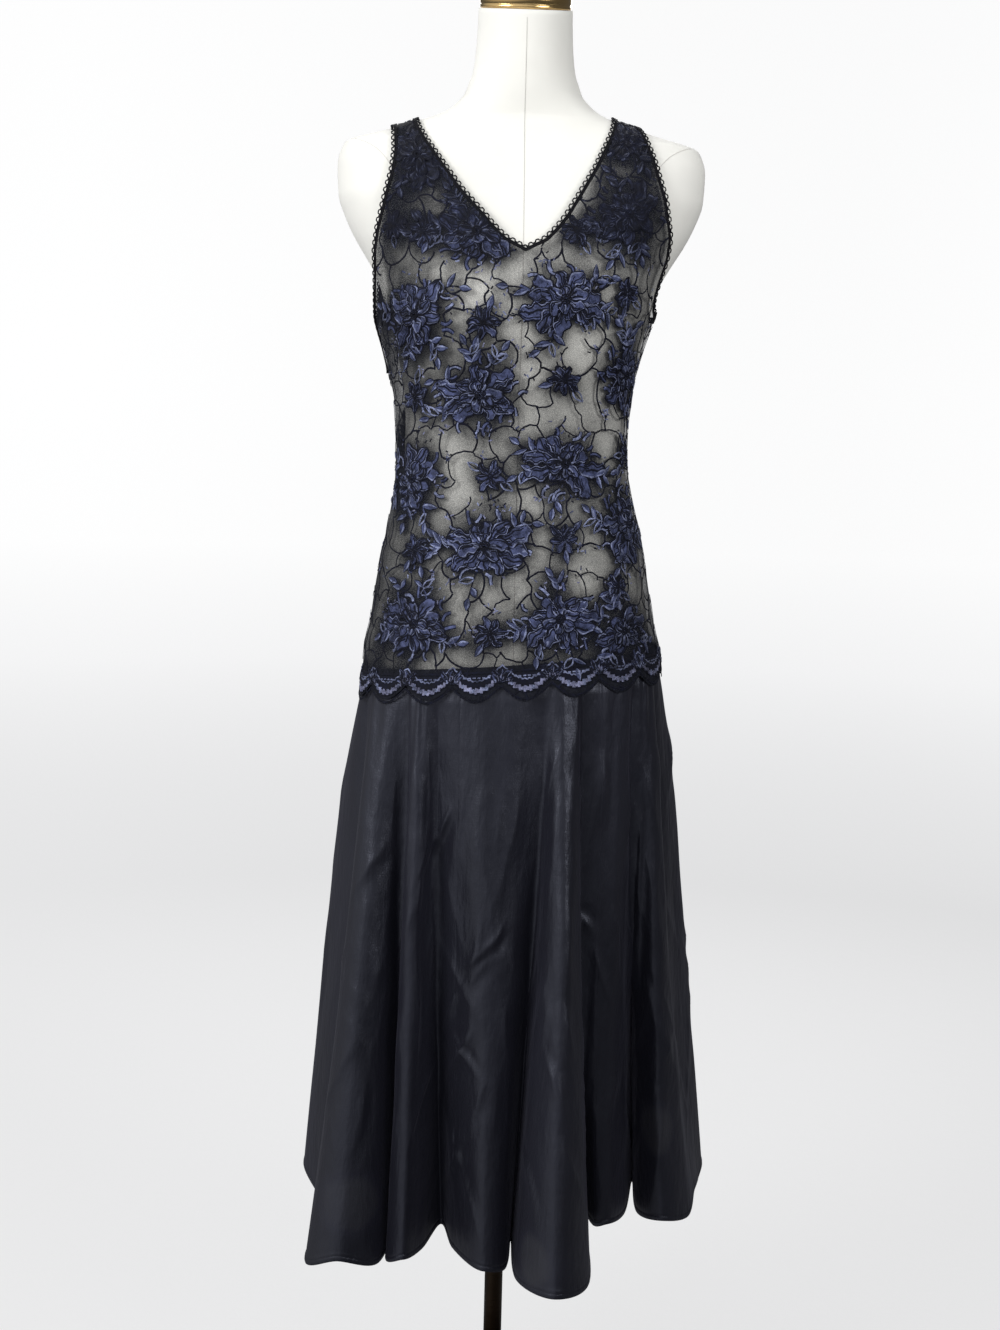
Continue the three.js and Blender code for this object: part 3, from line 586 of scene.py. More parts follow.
def net():
    """Black net. It lets more of the form through over the bust than on the straps and at the sides."""
    made = Shader("net", Specular_IOR_Level=0.1, Roughness=0.85)
    height = made.span(made.axis("Z"), 0.84, 1.46, smooth=False)
    cover = made.ramp(height, [(place, (value,) * 3) for place, value in [
        (0.0, 0.84), (0.055, 0.84), (0.075, 0.46), (0.25, 0.45), (0.45, 0.43), (0.60, 0.31), (0.69, 0.26),
        (0.755, 0.48), (0.87, 0.60), (1.0, 0.66),
    ]])
    aside = made.math("ABSOLUTE", made.math("SUBTRACT", made.axis("X"), 0.008))
    edge = made.span(aside, 0.090, 0.150)
    cover = made.add(cover, made.math("MULTIPLY", edge, made.math("SUBTRACT", 0.82, cover)))
    mottle = made.span(made.noise(26, (1, 1, 0.6)), 0.3, 0.7, -0.10, 0.10)
    mesh = {"Vector": made.place, "Scale": 620.0}
    cells = made.node("ShaderNodeTexVoronoi", mesh, feature="DISTANCE_TO_EDGE").outputs["Distance"]
    thread = made.span(cells, 0.02, 0.22, 0.20, -0.10)
    shade = made.node("ShaderNodeAttribute", attribute_name="shade").outputs["Fac"]
    halo = made.span(shade, 0.10, 0.85, -0.08, 0.30, smooth=False)
    made.link("Alpha", made.math("ADD", made.add(cover, halo, mottle), thread, clamp=True))
    tone = made.noise(300, detail=2)
    made.link("Base Color", made.ramp(tone, [(0.3, (0.006, 0.007, 0.010)), (0.7, (0.014, 0.015, 0.022))]))
    made.bump(thread, 0.0002, 0.4)
    return made.material


def thread_material(name, dark, light, roughness, sheen, dims=True):
    """Satin stitch: fine parallel threads, lighter and darker by place, and dimmer on chest and straps."""
    made = Shader(name, Sheen_Weight=sheen, Sheen_Roughness=0.35, Specular_IOR_Level=0.18)
    tone = made.noise(110, detail=5, roughness=0.8)
    fine = made.wave(900, "DIAGONAL", 3.0, finer=2.0)
    patchy = made.span(tone, 0.30, 0.72, -0.02, 0.70, smooth=False)
    mixed = made.add(made.math("MULTIPLY", fine, 0.24), patchy)
    if dims:
        upper = made.span(made.axis("Z"), 1.285, 1.345, 0.0, 0.32)
        aside = made.span(made.math("ABSOLUTE", made.axis("X")), 0.085, 0.135, 0.0, 0.10)
        mixed = made.math("SUBTRACT", mixed, made.add(upper, aside))
    middle = lerp(np.array(dark), np.array(light), 0.22)
    made.link("Base Color", made.ramp(mixed, [(0.10, dark), (0.36, middle), (0.82, light)]))
    made.link("Roughness", made.span(tone, 0.3, 0.7, roughness * 0.85, roughness * 1.2))
    made.bump(fine, 0.0003, 0.6)
    return made.material


# Painted light near the hem, as if light showed through thin cloth: x, y, z and radius in metres.
HEM_PAINTED_LIGHT = [(-0.155, -0.12, 0.335, 0.045), (0.045, -0.17, 0.300, 0.04), (0.165, -0.05, 0.385, 0.04)]


def satin():
    made = Shader("satin", Sheen_Weight=0.08, Sheen_Roughness=0.5, Specular_IOR_Level=0.5,
                  Specular_Tint=(0.78, 0.82, 1.0, 1), Sheen_Tint=(0.75, 0.75, 1.0, 1))
    streak = made.noise(16, (1, 1, 0.12), detail=5)
    cloudy = made.noise(7, detail=3)
    mixed = made.add(made.math("MULTIPLY", streak, 0.6), made.math("MULTIPLY", cloudy, 0.4))
    # Painted light: lighter patches near the hem, where light would show through the thin cloth.
    for *middle, radius in HEM_PAINTED_LIGHT:
        gap = made.node("ShaderNodeVectorMath", {0: made.place, 1: middle}, operation="DISTANCE")
        mixed = made.add(mixed, made.span(gap.outputs["Value"], radius, radius * 0.5, 0.0, 0.45))
    base = made.ramp(mixed, [(0.30, (0.0024, 0.0024, 0.0044)), (0.72, (0.0065, 0.0064, 0.0115)),
                             (1.0, (0.018, 0.018, 0.022))])
    made.link("Base Color", base)
    made.link("Roughness", made.span(streak, 0.3, 0.7, 0.38, 0.50))
    weft = made.noise(420, (0.25, 0.25, 2.2), detail=1)
    crumple = made.noise(22, (1, 1, 0.6), detail=3, roughness=0.5)
    folded = made.noise(95, (1.6, 1.6, 0.5), detail=2)
    relief = made.add(crumple, made.math("MULTIPLY", folded, 0.3), made.math("MULTIPLY", weft, 0.03))
    made.bump(relief, 0.006, 0.5)
    return made.material


LINEN = linen()
SEAM_LINEN = seam_linen()
BRASS = metal("brass", (0.55, 0.36, 0.14), (0.80, 0.58, 0.28), 0.2, 60)
BRONZE = metal("bronze", (0.030, 0.021, 0.015), (0.085, 0.060, 0.042), 0.34, 60)
NET = net()
FILL = thread_material("embroidery_navy", (0.003, 0.004, 0.012), (0.125, 0.150, 0.315), 0.5, 0.12)
# A paler copy of the navy thread: on raised satin edges it is a painted highlight.
RIM = thread_material("embroidery_blue_painted_highlight", (0.006, 0.008, 0.022), (0.400, 0.450, 0.720), 0.42, 0.2)
# Black thread for the cords and outlines; round the petals and in their slots it is also painted shade.
DARK = thread_material("embroidery_black_and_painted_shade", (0.002, 0.002, 0.005), (0.008, 0.010, 0.026), 0.65, 0.02, False)
LILAC = thread_material("embroidery_lilac", (0.008, 0.008, 0.020), (0.42, 0.44, 0.68), 0.42, 0.2)
CORD = thread_material("black_cord", (0.002, 0.002, 0.004), (0.006, 0.006, 0.010), 0.7, 0.02, False)
SATIN = satin()


# ---------------------------------------------------------------- the dress form and its stand
def tilted(points):
    """Slopes the neck's top down towards the front."""
    share = smoothstep(points[..., 2], NECK_TILT_START, NECK_TOP)
    made = points.copy()
    made[..., 2] += share * NECK_TILT * points[..., 1]
    return made


FORM_ROWS = 140
FORM_COLUMNS = 144
FOOT_SHARES = (0.04, 0.6, 0.97)  # rings between the middle of the form's foot and its edge
HEAD_SHARES = (0.97, 0.5, 0.04)
SHOULDER_HEIGHTS = np.linspace(1415, 1475, 31)


def make_form():
    heights = np.unique(np.concatenate([np.linspace(FORM_FOOT, NECK_TOP, FORM_ROWS), SECTIONS[:, 0],
                                        SHOULDER_HEIGHTS]))
    angles = np.arange(FORM_COLUMNS) * 2 * math.pi / FORM_COLUMNS
    rings = tilted(section_point(form_section(heights[:, None]), angles[None], heights[:, None]))
    foot, head = rings[0].mean(0), rings[-1].mean(0)
    lower = [lerp(foot, rings[0], share) for share in FOOT_SHARES]
    upper = [lerp(head, rings[-1], share) for share in HEAD_SHARES]
    build = Build()
    build.grid(np.array([*lower, *rings, *upper]), wrap=True)
    as_piece(build.finish("form_body", LINEN), "linen_cover", "form_torso")


# A seam across: share of its half width and of its height.
SEAM_PROFILE = [(-1, -0.5), (-0.35, 1), (0, 0.15), (0.35, 1), (1, -0.5)]


def ribbon_on_form(build, points, normals, width=1.3, height=0.35):
    """A raised seam with a groove along its middle."""
    along = unit(np.gradient(points, axis=0))
    across = unit(np.cross(along, normals))
    rows = [points + across * (width / 2 * side) + normals * (height * rise) for side, rise in SEAM_PROFILE]
    build.grid(np.stack(rows, 1))


def level_seam(build, angle, heights):
    """A seam that keeps to one angle round the form."""
    section = form_section(heights)
    points = tilted(section_point(section, angle, heights))
    ahead = tilted(section_point(section, angle + 0.01, heights))
    up = np.gradient(points, axis=0)
    ribbon_on_form(build, points, unit(np.cross(ahead - points, up)))


# The seam of the plate over each arm's stump: height and distance from the form's middle.
PLATE_SEAM = np.array([
    [1236, 134], [1262, 131], [1300, 127], [1340, 125], [1372, 128], [1392, 134], [1408, 146], [1418, 160],
    [1424, 174], [1427, 181],
])
PLATE_SEAM_STEPS = 90
MIDDLE_SEAM_HEIGHTS = np.concatenate([np.linspace(790, 1420, 160), np.linspace(1422, 1554, 60)])
SHOULDER_SEAM_HEIGHTS = np.linspace(1424, 1490, 70)
SHOULDER_SEAM_ANGLE = 1.52


def make_form_seams():
    build = Build()
    for angle in (0.0, math.pi):
        level_seam(build, angle, MIDDLE_SEAM_HEIGHTS)
    for side in (LEFT, RIGHT):
        level_seam(build, side * SHOULDER_SEAM_ANGLE, SHOULDER_SEAM_HEIGHTS)
        for turn in (FRONT, BACK):
            height = np.linspace(PLATE_SEAM[0, 0], PLATE_SEAM[-1, 0], PLATE_SEAM_STEPS)
            reach = smooth_curve(PLATE_SEAM[:, 0], PLATE_SEAM[:, 1])(height)
            points, normals = panel_place(form_section, side * reach, height, turn)
            ribbon_on_form(build, points, unit(normals), 1.1, 0.3)
    as_piece(build.finish("form_seams", SEAM_LINEN), "linen_cover")


def make_cap():
    angle = math.atan(NECK_TILT)

    def lean(points):
        x, y, z = points[..., 0], points[..., 1], points[..., 2]
        made = np.stack([x, y * math.cos(angle) - z * math.sin(angle),
                         y * math.sin(angle) + z * math.cos(angle)], -1)
        return made + [0, 0, NECK_TOP + SEAM_GAP]

    edge = rounded_corner(CAP_RADIUS - CAP_ROUND, CAP_HEIGHT - CAP_ROUND, CAP_ROUND, 0, 90, 9)
    groove = [(CAP_RADIUS, 3.2), (CAP_RADIUS - 0.8, 3.8), (CAP_RADIUS - 0.8, 4.6), (CAP_RADIUS, 5.2)]
    profile = [(0.5, 0), (CAP_RADIUS - 1, 0), (CAP_RADIUS, 1), *groove, *edge, (0.5, CAP_HEIGHT)]
    as_piece(revolved("form_cap", profile, BRASS, tilt=lean), "brass_cap", "form_neck_cap")


UNDER_ROUND = 1.5
COLLAR_ROUND = 2.5
POLE_BEVEL = 0.6


def make_stand():
    edge = rounded_corner(BASE_RADIUS - BASE_EDGE, BASE_THICKNESS - BASE_EDGE, BASE_EDGE, 0, 90)
    under = rounded_corner(BASE_RADIUS - UNDER_ROUND, UNDER_ROUND, UNDER_ROUND, -90, 0)
    base = [(0.5, 0), *under, *edge, (60, BASE_THICKNESS), (0.5, BASE_THICKNESS)]
    foot = BASE_THICKNESS + SEAM_GAP
    top = foot + COLLAR_HEIGHT
    bore = POLE_RADIUS + SEAM_GAP
    shoulder = rounded_corner(COLLAR_RADIUS - COLLAR_ROUND, top - COLLAR_ROUND, COLLAR_ROUND, 0, 90)
    collar = [(bore, foot), (COLLAR_RADIUS, foot), (COLLAR_RADIUS, foot + 8),
              (COLLAR_RADIUS - 1.2, foot + 9.5), *shoulder, (bore, top), (bore, foot)]
    head = FORM_FOOT - SEAM_GAP
    inset = POLE_RADIUS - POLE_BEVEL
    pole = [(0.5, foot), (inset, foot), (POLE_RADIUS, foot + POLE_BEVEL), (POLE_RADIUS, head - POLE_BEVEL),
            (inset, head), (0.5, head)]
    as_piece(revolved("base_disc", base, BRONZE, 128), "bronze_stand", "stand_base")
    as_piece(revolved("base_collar", collar, BRONZE), "bronze_stand", "stand_collar")
    as_piece(revolved("pole_tube", pole, BRONZE), "bronze_stand", "stand_pole")


# ---------------------------------------------------------------- the net
NET_COLUMNS = 66
NET_LIFT = 0.4
CUSP_ROW_RISE = 4
HANGING_ROWS = 8  # from the scallops up to the cusp line
LOWER_SHARES = np.linspace(0, 1, 66)
CHEST_SHARES = np.linspace(0, 1, 19)[1:]
STRAP_SHARES = np.interp(np.linspace(0, 11, 78), np.arange(12),
                         [0, 0.12, 0.26, 0.42, 0.58, 0.73, 0.85, 0.93, 0.967, 0.986, 0.996, 1])[1:]
UNDERARM_ROW = len(LOWER_SHARES) - 1
NECK_ROW = UNDERARM_ROW + len(CHEST_SHARES)


def side_reach(height, side):
    """How far the lace's side seam is from x = 0."""
    level = float(cloth_section(height)["side"])
    section = cloth_section(max(height, seam_height(side * level)))
    return float(section["side"] + side * section["shift"])


def along_path(places, share):
    """The place at a share of a path's length."""
    lengths = path_lengths(places)
    return path_values(share * lengths[-1], lengths, places)


def row_ends(turn, side):
    """Inner and outer end of each row of half a panel, as (reach, height), and how far it goes over."""
    neck = NECK[turn]
    neck_edge = np.stack([neck[:, 1 if side == LEFT else 2] + side * CENTRE_X, neck[:, 0].astype(float)], 1)
    arm_edge = np.array([[min(reach, side_reach(height, side)), height] for height, reach in ARMHOLE[side]])
    for edge in (neck_edge, arm_edge):
        edge[-1, 1] = crest_height(edge[-1, 0])
    low = CUSP_HEIGHT + CUSP_ROW_RISE
    outer_low = low + side * HEM_SLOPE * side_reach(low, side)
    middle = side * CENTRE_X
    ends = []
    for share in LOWER_SHARES:
        height = lerp(outer_low, arm_edge[0, 1], share)
        ends.append(((middle, lerp(low, UNDERARM_ROW_HEIGHT, share)), (side_reach(height, side), height), 0))
    for share in CHEST_SHARES:
        height = lerp(UNDERARM_ROW_HEIGHT, neck_edge[0, 1], share)
        ends.append(((middle, height), along_path(arm_edge, share * ARM_SHARE_AT_NECK[turn]), 0))
    for share in STRAP_SHARES:
        outer = along_path(arm_edge, lerp(ARM_SHARE_AT_NECK[turn], 1, share))
        ends.append((along_path(neck_edge, share), outer, smoothstep(share, 0, 0.8)))
    return ends


def row_places(inner, outer, over, side, columns):
    """x and height of the points of a row. Low rows follow the body, high ones the shoulder's crest."""
    t = np.linspace(0, 1, columns + 1)

    def angle_of(reach, height):
        section = cloth_section(max(height, seam_height(side * reach)))
        share = float((side * reach - section["shift"]) / section["side"])
        return math.asin(np.sign(share) * min(1, abs(share)) ** (float(section["power"]) / 2))

    round_height = lerp(inner[1], outer[1], t)
    angle = lerp(angle_of(*inner), angle_of(*outer), t)
    over_reach = lerp(inner[0], outer[0], t)
    section = cloth_section(np.maximum(round_height, seam_height(side * over_reach)))
    round_reach = side * section_point(section, angle, round_height)[:, 0]
    drops = [crest_height(abs(end[0])) - end[1] for end in (inner, outer)]
    over_height = crest_height(over_reach) - lerp(drops[0], drops[1], t)
    reach = lerp(round_reach, over_reach, over)
    return side * reach, lerp(round_height, over_height, over)


def scallop_edge(s):
    """Height of the lace's lower edge below the cusp line, at a distance along the cloth."""
    return SCALLOP_DEPTH * np.abs(np.cos(math.pi * (s - SCALLOP_PHASE) / SCALLOP_PITCH))


def half_panel(turn, side):
    """Rows of (x, height) from the scallops up."""
    rows = [row_places(*ends, side, NET_COLUMNS) for ends in row_ends(turn, side)]
    cusp = [CUSP_HEIGHT + side * HEM_SLOPE * reach
            for reach in (side * CENTRE_X, side_reach(CUSP_HEIGHT, side))]
    ends = (side * CENTRE_X, cusp[0]), (side_reach(CUSP_HEIGHT, side), cusp[1])
    x, z = row_places(*ends, 0, side, NET_COLUMNS)
    points = cloth_place(x, z, turn)[0]
    along = path_lengths(points)
    edge = (points[:, 0], z - scallop_edge(side * along))
    hanging = [(lerp(edge[0], rows[0][0], t), lerp(edge[1], rows[0][1], t))
               for t in np.arange(HANGING_ROWS) / HANGING_ROWS]
    return [*hanging, *rows]


def panel_points(turn, side, lift):
    rows = half_panel(turn, side)
    x = np.array([row[0] for row in rows])
    z = np.array([row[1] for row in rows])
    return lace_point(x, z, turn, lift)


PANEL_NAMES = {FRONT: "front", BACK: "back"}


def make_nets():
    """Each net with the flat places (x, height) of its points."""
    made = {}
    for turn, name in PANEL_NAMES.items():
        build = Build()
        build.grid(panel_points(turn, LEFT, NET_LIFT)[0][:, ::-1], flip=turn == BACK)
        build.grid(panel_points(turn, RIGHT, NET_LIFT)[0], flip=turn == BACK)
        piece = as_piece(build.finish(f"lace_net_{name}", NET), "lace", f"bodice_{name}")
        left, right = (np.array(half_panel(turn, side)).transpose(0, 2, 1) for side in (LEFT, RIGHT))
        made[turn] = piece, np.concatenate([left[:, ::-1].reshape(-1, 2), right.reshape(-1, 2)])
    return made


# ---------------------------------------------------------------- the embroidery
KIND_FILL, KIND_RIM, KIND_DARK, KIND_LILAC = range(4)
EDGE_HEIGHT = 880.0
EDGE_SPARE = 2  # threads reach this far below the scalloped edge
SIDE_SPARE = 0.5


class Embroidery:
    """Shapes drawn on the flat cloth as (distance along it, height), then laid on the body."""

    def __init__(self, turn):
        self.turn = turn
        self.flat, self.faces, self.kinds, self.count = [], [], [], 0

    def add(self, grid, lift, kind):
        rows, columns = grid.shape[:2]
        lifts = np.broadcast_to(lift, (rows, columns))
        self.flat.append(np.stack([grid[..., 0], grid[..., 1], lifts], -1).reshape(-1, 3))
        faces = grid_faces(rows, columns, self.count)
        self.faces.append(faces)
        self.kinds.append(np.full(len(faces), kind))
        self.count += rows * columns

    def ribbon(self, path, width, lift, height, kind):
        """A raised line: two flanks that meet in a ridge."""
        path = np.asarray(path, float)
        across = flat_across(path)
        width = np.broadcast_to(width, len(path))[:, None]
        lift = np.broadcast_to(lift, len(path))
        grid = np.stack([path + across * width / 2, path, path - across * width / 2], 1)
        self.add(grid, np.stack([lift, lift + height, lift], 1), kind)

    def cusp_height(self, s):
        return CUSP_HEIGHT + HEM_SLOPE * MAPS[self.turn].to_x(s, np.full(np.shape(s), EDGE_HEIGHT))

    def along_edge(self, s, rise):
        """Places that follow the scallops at a distance above them."""
        return np.stack([s, self.cusp_height(s) - scallop_edge(s) + rise], 1)

    def finish(self, name):
        flat, faces, kinds = (np.concatenate(rows) for rows in (self.flat, self.faces, self.kinds))
        s, z, lift = flat.T
        low, high = MAPS[self.turn].reach(z)
        x = MAPS[self.turn].to_x(s, z)
        keep = inside_panel(x, z, self.turn) & (s > low + SIDE_SPARE) & (s < high - SIDE_SPARE)
        keep &= z > self.cusp_height(s) - scallop_edge(s) - EDGE_SPARE
        points = lace_point(x, z, self.turn, NET_LIFT + lift)[0]
        chosen = keep[faces].all(1)
        used, faces_left = np.unique(faces[chosen], return_inverse=True)
        faces_left = faces_left.reshape(-1, 4)
        if self.turn == BACK:
            faces_left = faces_left[:, ::-1]
        return new_object(name, points[used], faces_left, [FILL, RIM, DARK, LILAC], kinds[chosen])


def arc_points(start, end, bulge, steps=9):
    """A line that bows to one side by a share of its length."""
    start, end = np.asarray(start, float), np.asarray(end, float)
    t = np.linspace(0, 1, steps)[:, None]
    step = end - start
    side = np.array([-step[1], step[0]])
    return start + step * t + side * bulge * 4 * t * (1 - t)


def toward(heading, rise=1.0):
    """A direction on the cloth, with its upward part scaled."""
    return np.array([math.cos(heading), rise * math.sin(heading)])


LONG_PETAL = 24
LONG_ROWS, SHORT_ROWS = 13, 9
PETAL_COLUMNS = np.array([-1, -0.86, -0.70, -0.35, 0, 0.35, 0.70, 0.86, 1])
RIM_CHANCE = 0.6
# Dark slots of a petal, painted shade between its ruffles: their column, and where they start and end along
# it.
PETAL_SLOTS = [(2, 0.12, 0.9), (3, 0.2, 0.8), (5, 0.1, 0.6), (4, 0.4, 1.0), (6, 0.35, 1.0)]
SLOT_CHANCE = 0.62
OUTLINE_WIDTH = 2.1
RUFFLE_PITCH = 13
WANDER_PITCH = 14


def petal(art, root, angle, length, width, bend, rng, base=0.5):
    """A ruffled petal: navy satin with a lighter band along its edges as a painted highlight, dark slots as
    painted shade between its ruffles, and a dark outline that is partly the outline cord and partly painted
    shade round it.
    """
    rows = LONG_ROWS if length > LONG_PETAL else SHORT_ROWS
    t = np.linspace(0, 1, rows)
    heading = math.radians(angle) + math.radians(bend) * (t - 0.3)
    steps = length / (rows - 1) * np.stack([np.cos(heading), np.sin(heading)], 1)[1:]
    spine = np.asarray(root) + np.concatenate([[[0, 0]], np.cumsum(steps, axis=0)])
    across = flat_across(spine)
    phase = rng.uniform(0, 6.28, 3)
    body = (0.2 + 0.8 * smoothstep(t, 0, 0.55)) * np.sqrt(np.clip(1.01 - t**5, 0, 1))
    ruffle = [1 + 0.22 * np.sin(6.28 * length / RUFFLE_PITCH * t + phase[k]) for k in (0, 1)]
    half = [width / 2 * body * wave for wave in ruffle]
    v = PETAL_COLUMNS[None]
    side = np.where(v > 0, half[0][:, None], half[1][:, None])
    wander = 0.9 * np.sin(6.28 * length / WANDER_PITCH * t + phase[2]) * smoothstep(t, 0, 0.3)
    grid = spine[:, None] + across[:, None] * (v * side + wander[:, None])[..., None]
    lift = base + 0.5 + 0.4 * np.sin(4.2 * v + 9 * t[:, None] + phase[1])
    art.add(grid[:, 2:7], lift[:, 2:7], KIND_FILL)
    ridge = np.array([[-0.5, 0.6, 0.0]])
    # Painted highlight: the paler band along the petal's edges.
    art.add(grid[:, :3], lift[:, :3] + ridge, KIND_RIM)
    art.add(grid[:, 6:], lift[:, 6:] + ridge[:, ::-1], KIND_RIM if rng.random() < RIM_CHANCE else KIND_FILL)
    # Dark slots: painted shade between the ruffles.
    for column, first, last in PETAL_SLOTS:
        if rng.random() < SLOT_CHANCE:
            run = slice(int(first * rows), int(last * rows))
            art.ribbon(grid[run, column], rng.uniform(1.0, 2.1), lift[run, column] + 0.25, 0.25, KIND_DARK)
    # The dark outline: partly the outline cord, partly painted shade round the petal.
    outline = np.concatenate([grid[:, 0], grid[::-1, -1]])
    art.ribbon(outline, OUTLINE_WIDTH, base + 0.35, 0.6, KIND_DARK)


def eye(art, place, outer, inner, steps, width, lift):
    """The spiral in the middle of a flower."""
    turn = np.linspace(0, 4 * math.pi, steps)
    radius = np.linspace(outer, inner, steps)
    path = np.asarray(place) + radius[:, None] * np.stack([np.cos(turn), np.sin(turn)], 1)
    art.ribbon(path, width, lift, 0.5, KIND_DARK)


# Angle, length, width and bend of a bloom's outer petals and of its inner ones.
OUTER_PETALS = [
    (-38, 40, 15, 40), (-10, 44, 16, -38), (18, 43, 16, 30), (46, 36, 15, -42), (80, 29, 14, 35),
    (116, 31, 14, -38), (146, 39, 15, 42), (174, 44, 16, -35), (202, 43, 16, 38), (230, 37, 15, -40),
    (264, 29, 14, 35), (298, 33, 14, -38),
]
INNER_PETALS = [(4, 25, 12, -50), (70, 18, 11, 45), (128, 22, 12, -50), (190, 25, 12, 50), (252, 18, 11, -45),
                (310, 22, 12, 50)]


CURL_ANGLES = np.arange(0, 360, 24)
RAY_ANGLES = np.arange(0, 360, 60)
SMALL_PETAL_ANGLES = np.arange(0, 360, 51.4)


def bloom(art, place, scale, turn_by, rng, mirror):
    """A big flower: two rings of petals, loose curls round them and a spiral eye with short rays."""
    for petals, base, reach in ((OUTER_PETALS, 0.4, 0.16), (INNER_PETALS, 1.4, 0.05)):
        for angle, length, width, bend in petals:
            turned = angle + turn_by + rng.uniform(-10, 10)
            if mirror < 0:
                turned, bend = 180 - turned, -bend
            heading = math.radians(turned)
            size = scale * rng.uniform(0.84, 1.04)
            length = length * rng.uniform(0.76, 1.2)
            flat = 1 - 0.16 * abs(math.sin(heading))
            root = place + reach * length * scale * toward(heading)
            petal(art, root, turned, length * size * flat * (1 - reach), width * size, bend, rng, base)
    for angle in CURL_ANGLES + turn_by:
        heading = math.radians(angle + rng.uniform(-12, 12))
        start = place + rng.uniform(29, 37) * scale * toward(heading, 0.8)
        away = heading + rng.uniform(-1.0, 1.0)
        end = start + rng.uniform(8, 14) * scale * toward(away)
        line = arc_points(start, end, rng.uniform(-0.3, 0.3), 7)
        art.ribbon(line, 4.6, 0.3, 0.3, KIND_DARK)
        art.ribbon(line, rng.uniform(1.6, 2.8), 0.6, 0.6, KIND_RIM if rng.random() < 0.5 else KIND_FILL)
    eye(art, place, 5.5 * scale, 1.2 * scale, 34, 1.6, 2.6)
    for angle in RAY_ANGLES + turn_by:
        tip = scale * toward(math.radians(angle))
        art.ribbon(arc_points(place + 5 * tip, place + 11 * tip, 0.1, 5), 1.5, 2.4, 0.5, KIND_RIM)


def small_flower(art, place, scale, turn_by, rng):
    """A ring of short petals round a spiral eye."""
    for angle in SMALL_PETAL_ANGLES + turn_by:
        length = rng.uniform(14, 19) * scale
        petal(art, place, angle + rng.uniform(-9, 9), length, 7 * scale, rng.uniform(-40, 40), rng, 0.4)
    eye(art, place, 3.0 * scale, 0.6 * scale, 26, 1.3, 1.6)


def leaf(art, root, angle, length, width, rng, solid=True):
    """A pointed leaf: a navy satin half and a lighter half whose paler thread is a painted highlight, or an
    outline with a midrib.
    """
    t = np.linspace(0, 1, 7)
    along = toward(math.radians(angle))
    across = np.array([-along[1], along[0]])
    curl = rng.uniform(-0.16, 0.16) * length * t**2
    spine = np.asarray(root) + along * (length * t)[:, None] + across * curl[:, None]
    half = width / 2 * np.sin(math.pi * np.clip(t, 0.03, 0.98) ** 0.85)
    sides = [spine + across * (half * v)[:, None] for v in (-1, -0.4, 0.4, 1)]
    outline = np.concatenate([sides[0], sides[3][::-1]])
    if solid:
        art.add(np.stack(sides, 1), np.array([[0.4, 0.8, 0.8, 0.4]]), KIND_FILL)
        # The lighter half's paler thread is a painted highlight.
        for v, kind in ((-0.5, KIND_FILL), (0.5, KIND_RIM)):
            art.ribbon(spine + across * (half * v)[:, None], 0.5 * half + 0.3, 0.9, 0.6, kind)
        art.ribbon(outline, 1.0, 0.5, 0.4, KIND_DARK)
    else:
        art.ribbon(outline, 1.6, 0.5, 0.6, KIND_RIM)
        art.ribbon(spine, 1.0, 0.5, 0.4, KIND_DARK)


STEM_STEPS = 13
LEAF_STEPS = (3, 7)


def sprig(art, start, end, bulge, rng):
    """A curved stem with leaves on both sides and a bud at its tip."""
    stem = arc_points(start, end, bulge, STEM_STEPS)
    art.ribbon(stem, 1.7, 0.5, 0.5, KIND_DARK)
    for at in LEAF_STEPS:
        step = stem[at + 1] - stem[at - 1]
        heading = math.degrees(math.atan2(step[1], step[0]))
        for side in (-1, 1):
            if rng.random() < 0.8:
                leaf(art, stem[at], heading + side * rng.uniform(35, 60), rng.uniform(11, 17),
                     rng.uniform(5, 7.5), rng, rng.random() < 0.7)
    leaf(art, stem[-1], math.degrees(math.atan2(*(stem[-1] - stem[-2])[::-1])), 12, 7, rng)


STITCH_KINDS = [KIND_LILAC, KIND_RIM, KIND_DARK, KIND_FILL]


def stitches(art, place, count, spread, rng):
    """Short loose stitches scattered round a place."""
    for _ in range(count):
        at = np.asarray(place) + rng.normal(size=2) * spread
        heading = rng.uniform(0, math.pi)
        tip = at + rng.uniform(2.5, 4.5) * toward(heading)
        art.ribbon(arc_points(at, tip, 0.0, 3), 1.4, 0.5, 0.5, rng.choice(STITCH_KINDS))


CELL_PITCH = 27
CELL_SIZE = CELL_PITCH * 0.70
CELL_ROWS = range(-1, 22)
CELL_COLUMNS = range(-11, 12)
CELL_START = 888
CELL_SHIFT = 7.0
MISSING_CORD_CHANCE = 0.12
CORD_STEPS = 7
LOWEST_STITCH = 908


def cells(art, rng):
    """Thin bowed cords that meet three at a time, in an uneven honeycomb."""
    corners = {}
    for row in CELL_ROWS:
        for column in CELL_COLUMNS:
            for corner in (0, 1):
                s = (column + 0.5 * (row % 2)) * CELL_PITCH + CENTRE_X
                z = CELL_START + row * 1.5 * CELL_SIZE + (corner - 0.5) * CELL_SIZE
                corners[row, column, corner] = np.array([s, z]) + rng.uniform(-CELL_SHIFT, CELL_SHIFT, 2)
    for (row, column, corner), at in corners.items():
        if corner == 1:
            continue
        below = column + row % 2
        for other in ((row, column, 1), (row - 1, below - 1, 1), (row - 1, below, 1)):
            if other not in corners or rng.random() < MISSING_CORD_CHANCE:
                continue
            far = corners[other]
            bulge = rng.uniform(0.08, 0.24) * rng.choice([-1, 1])
            cord = arc_points(at, far, bulge, CORD_STEPS) + 0.3 * rng.normal(size=(CORD_STEPS, 2))
            art.ribbon(cord, rng.uniform(1.4, 2.2), 0.3, 0.6, KIND_DARK)
            if far[1] > LOWEST_STITCH and rng.random() < 0.35:
                stitches(art, far, 4, 3.5, rng)


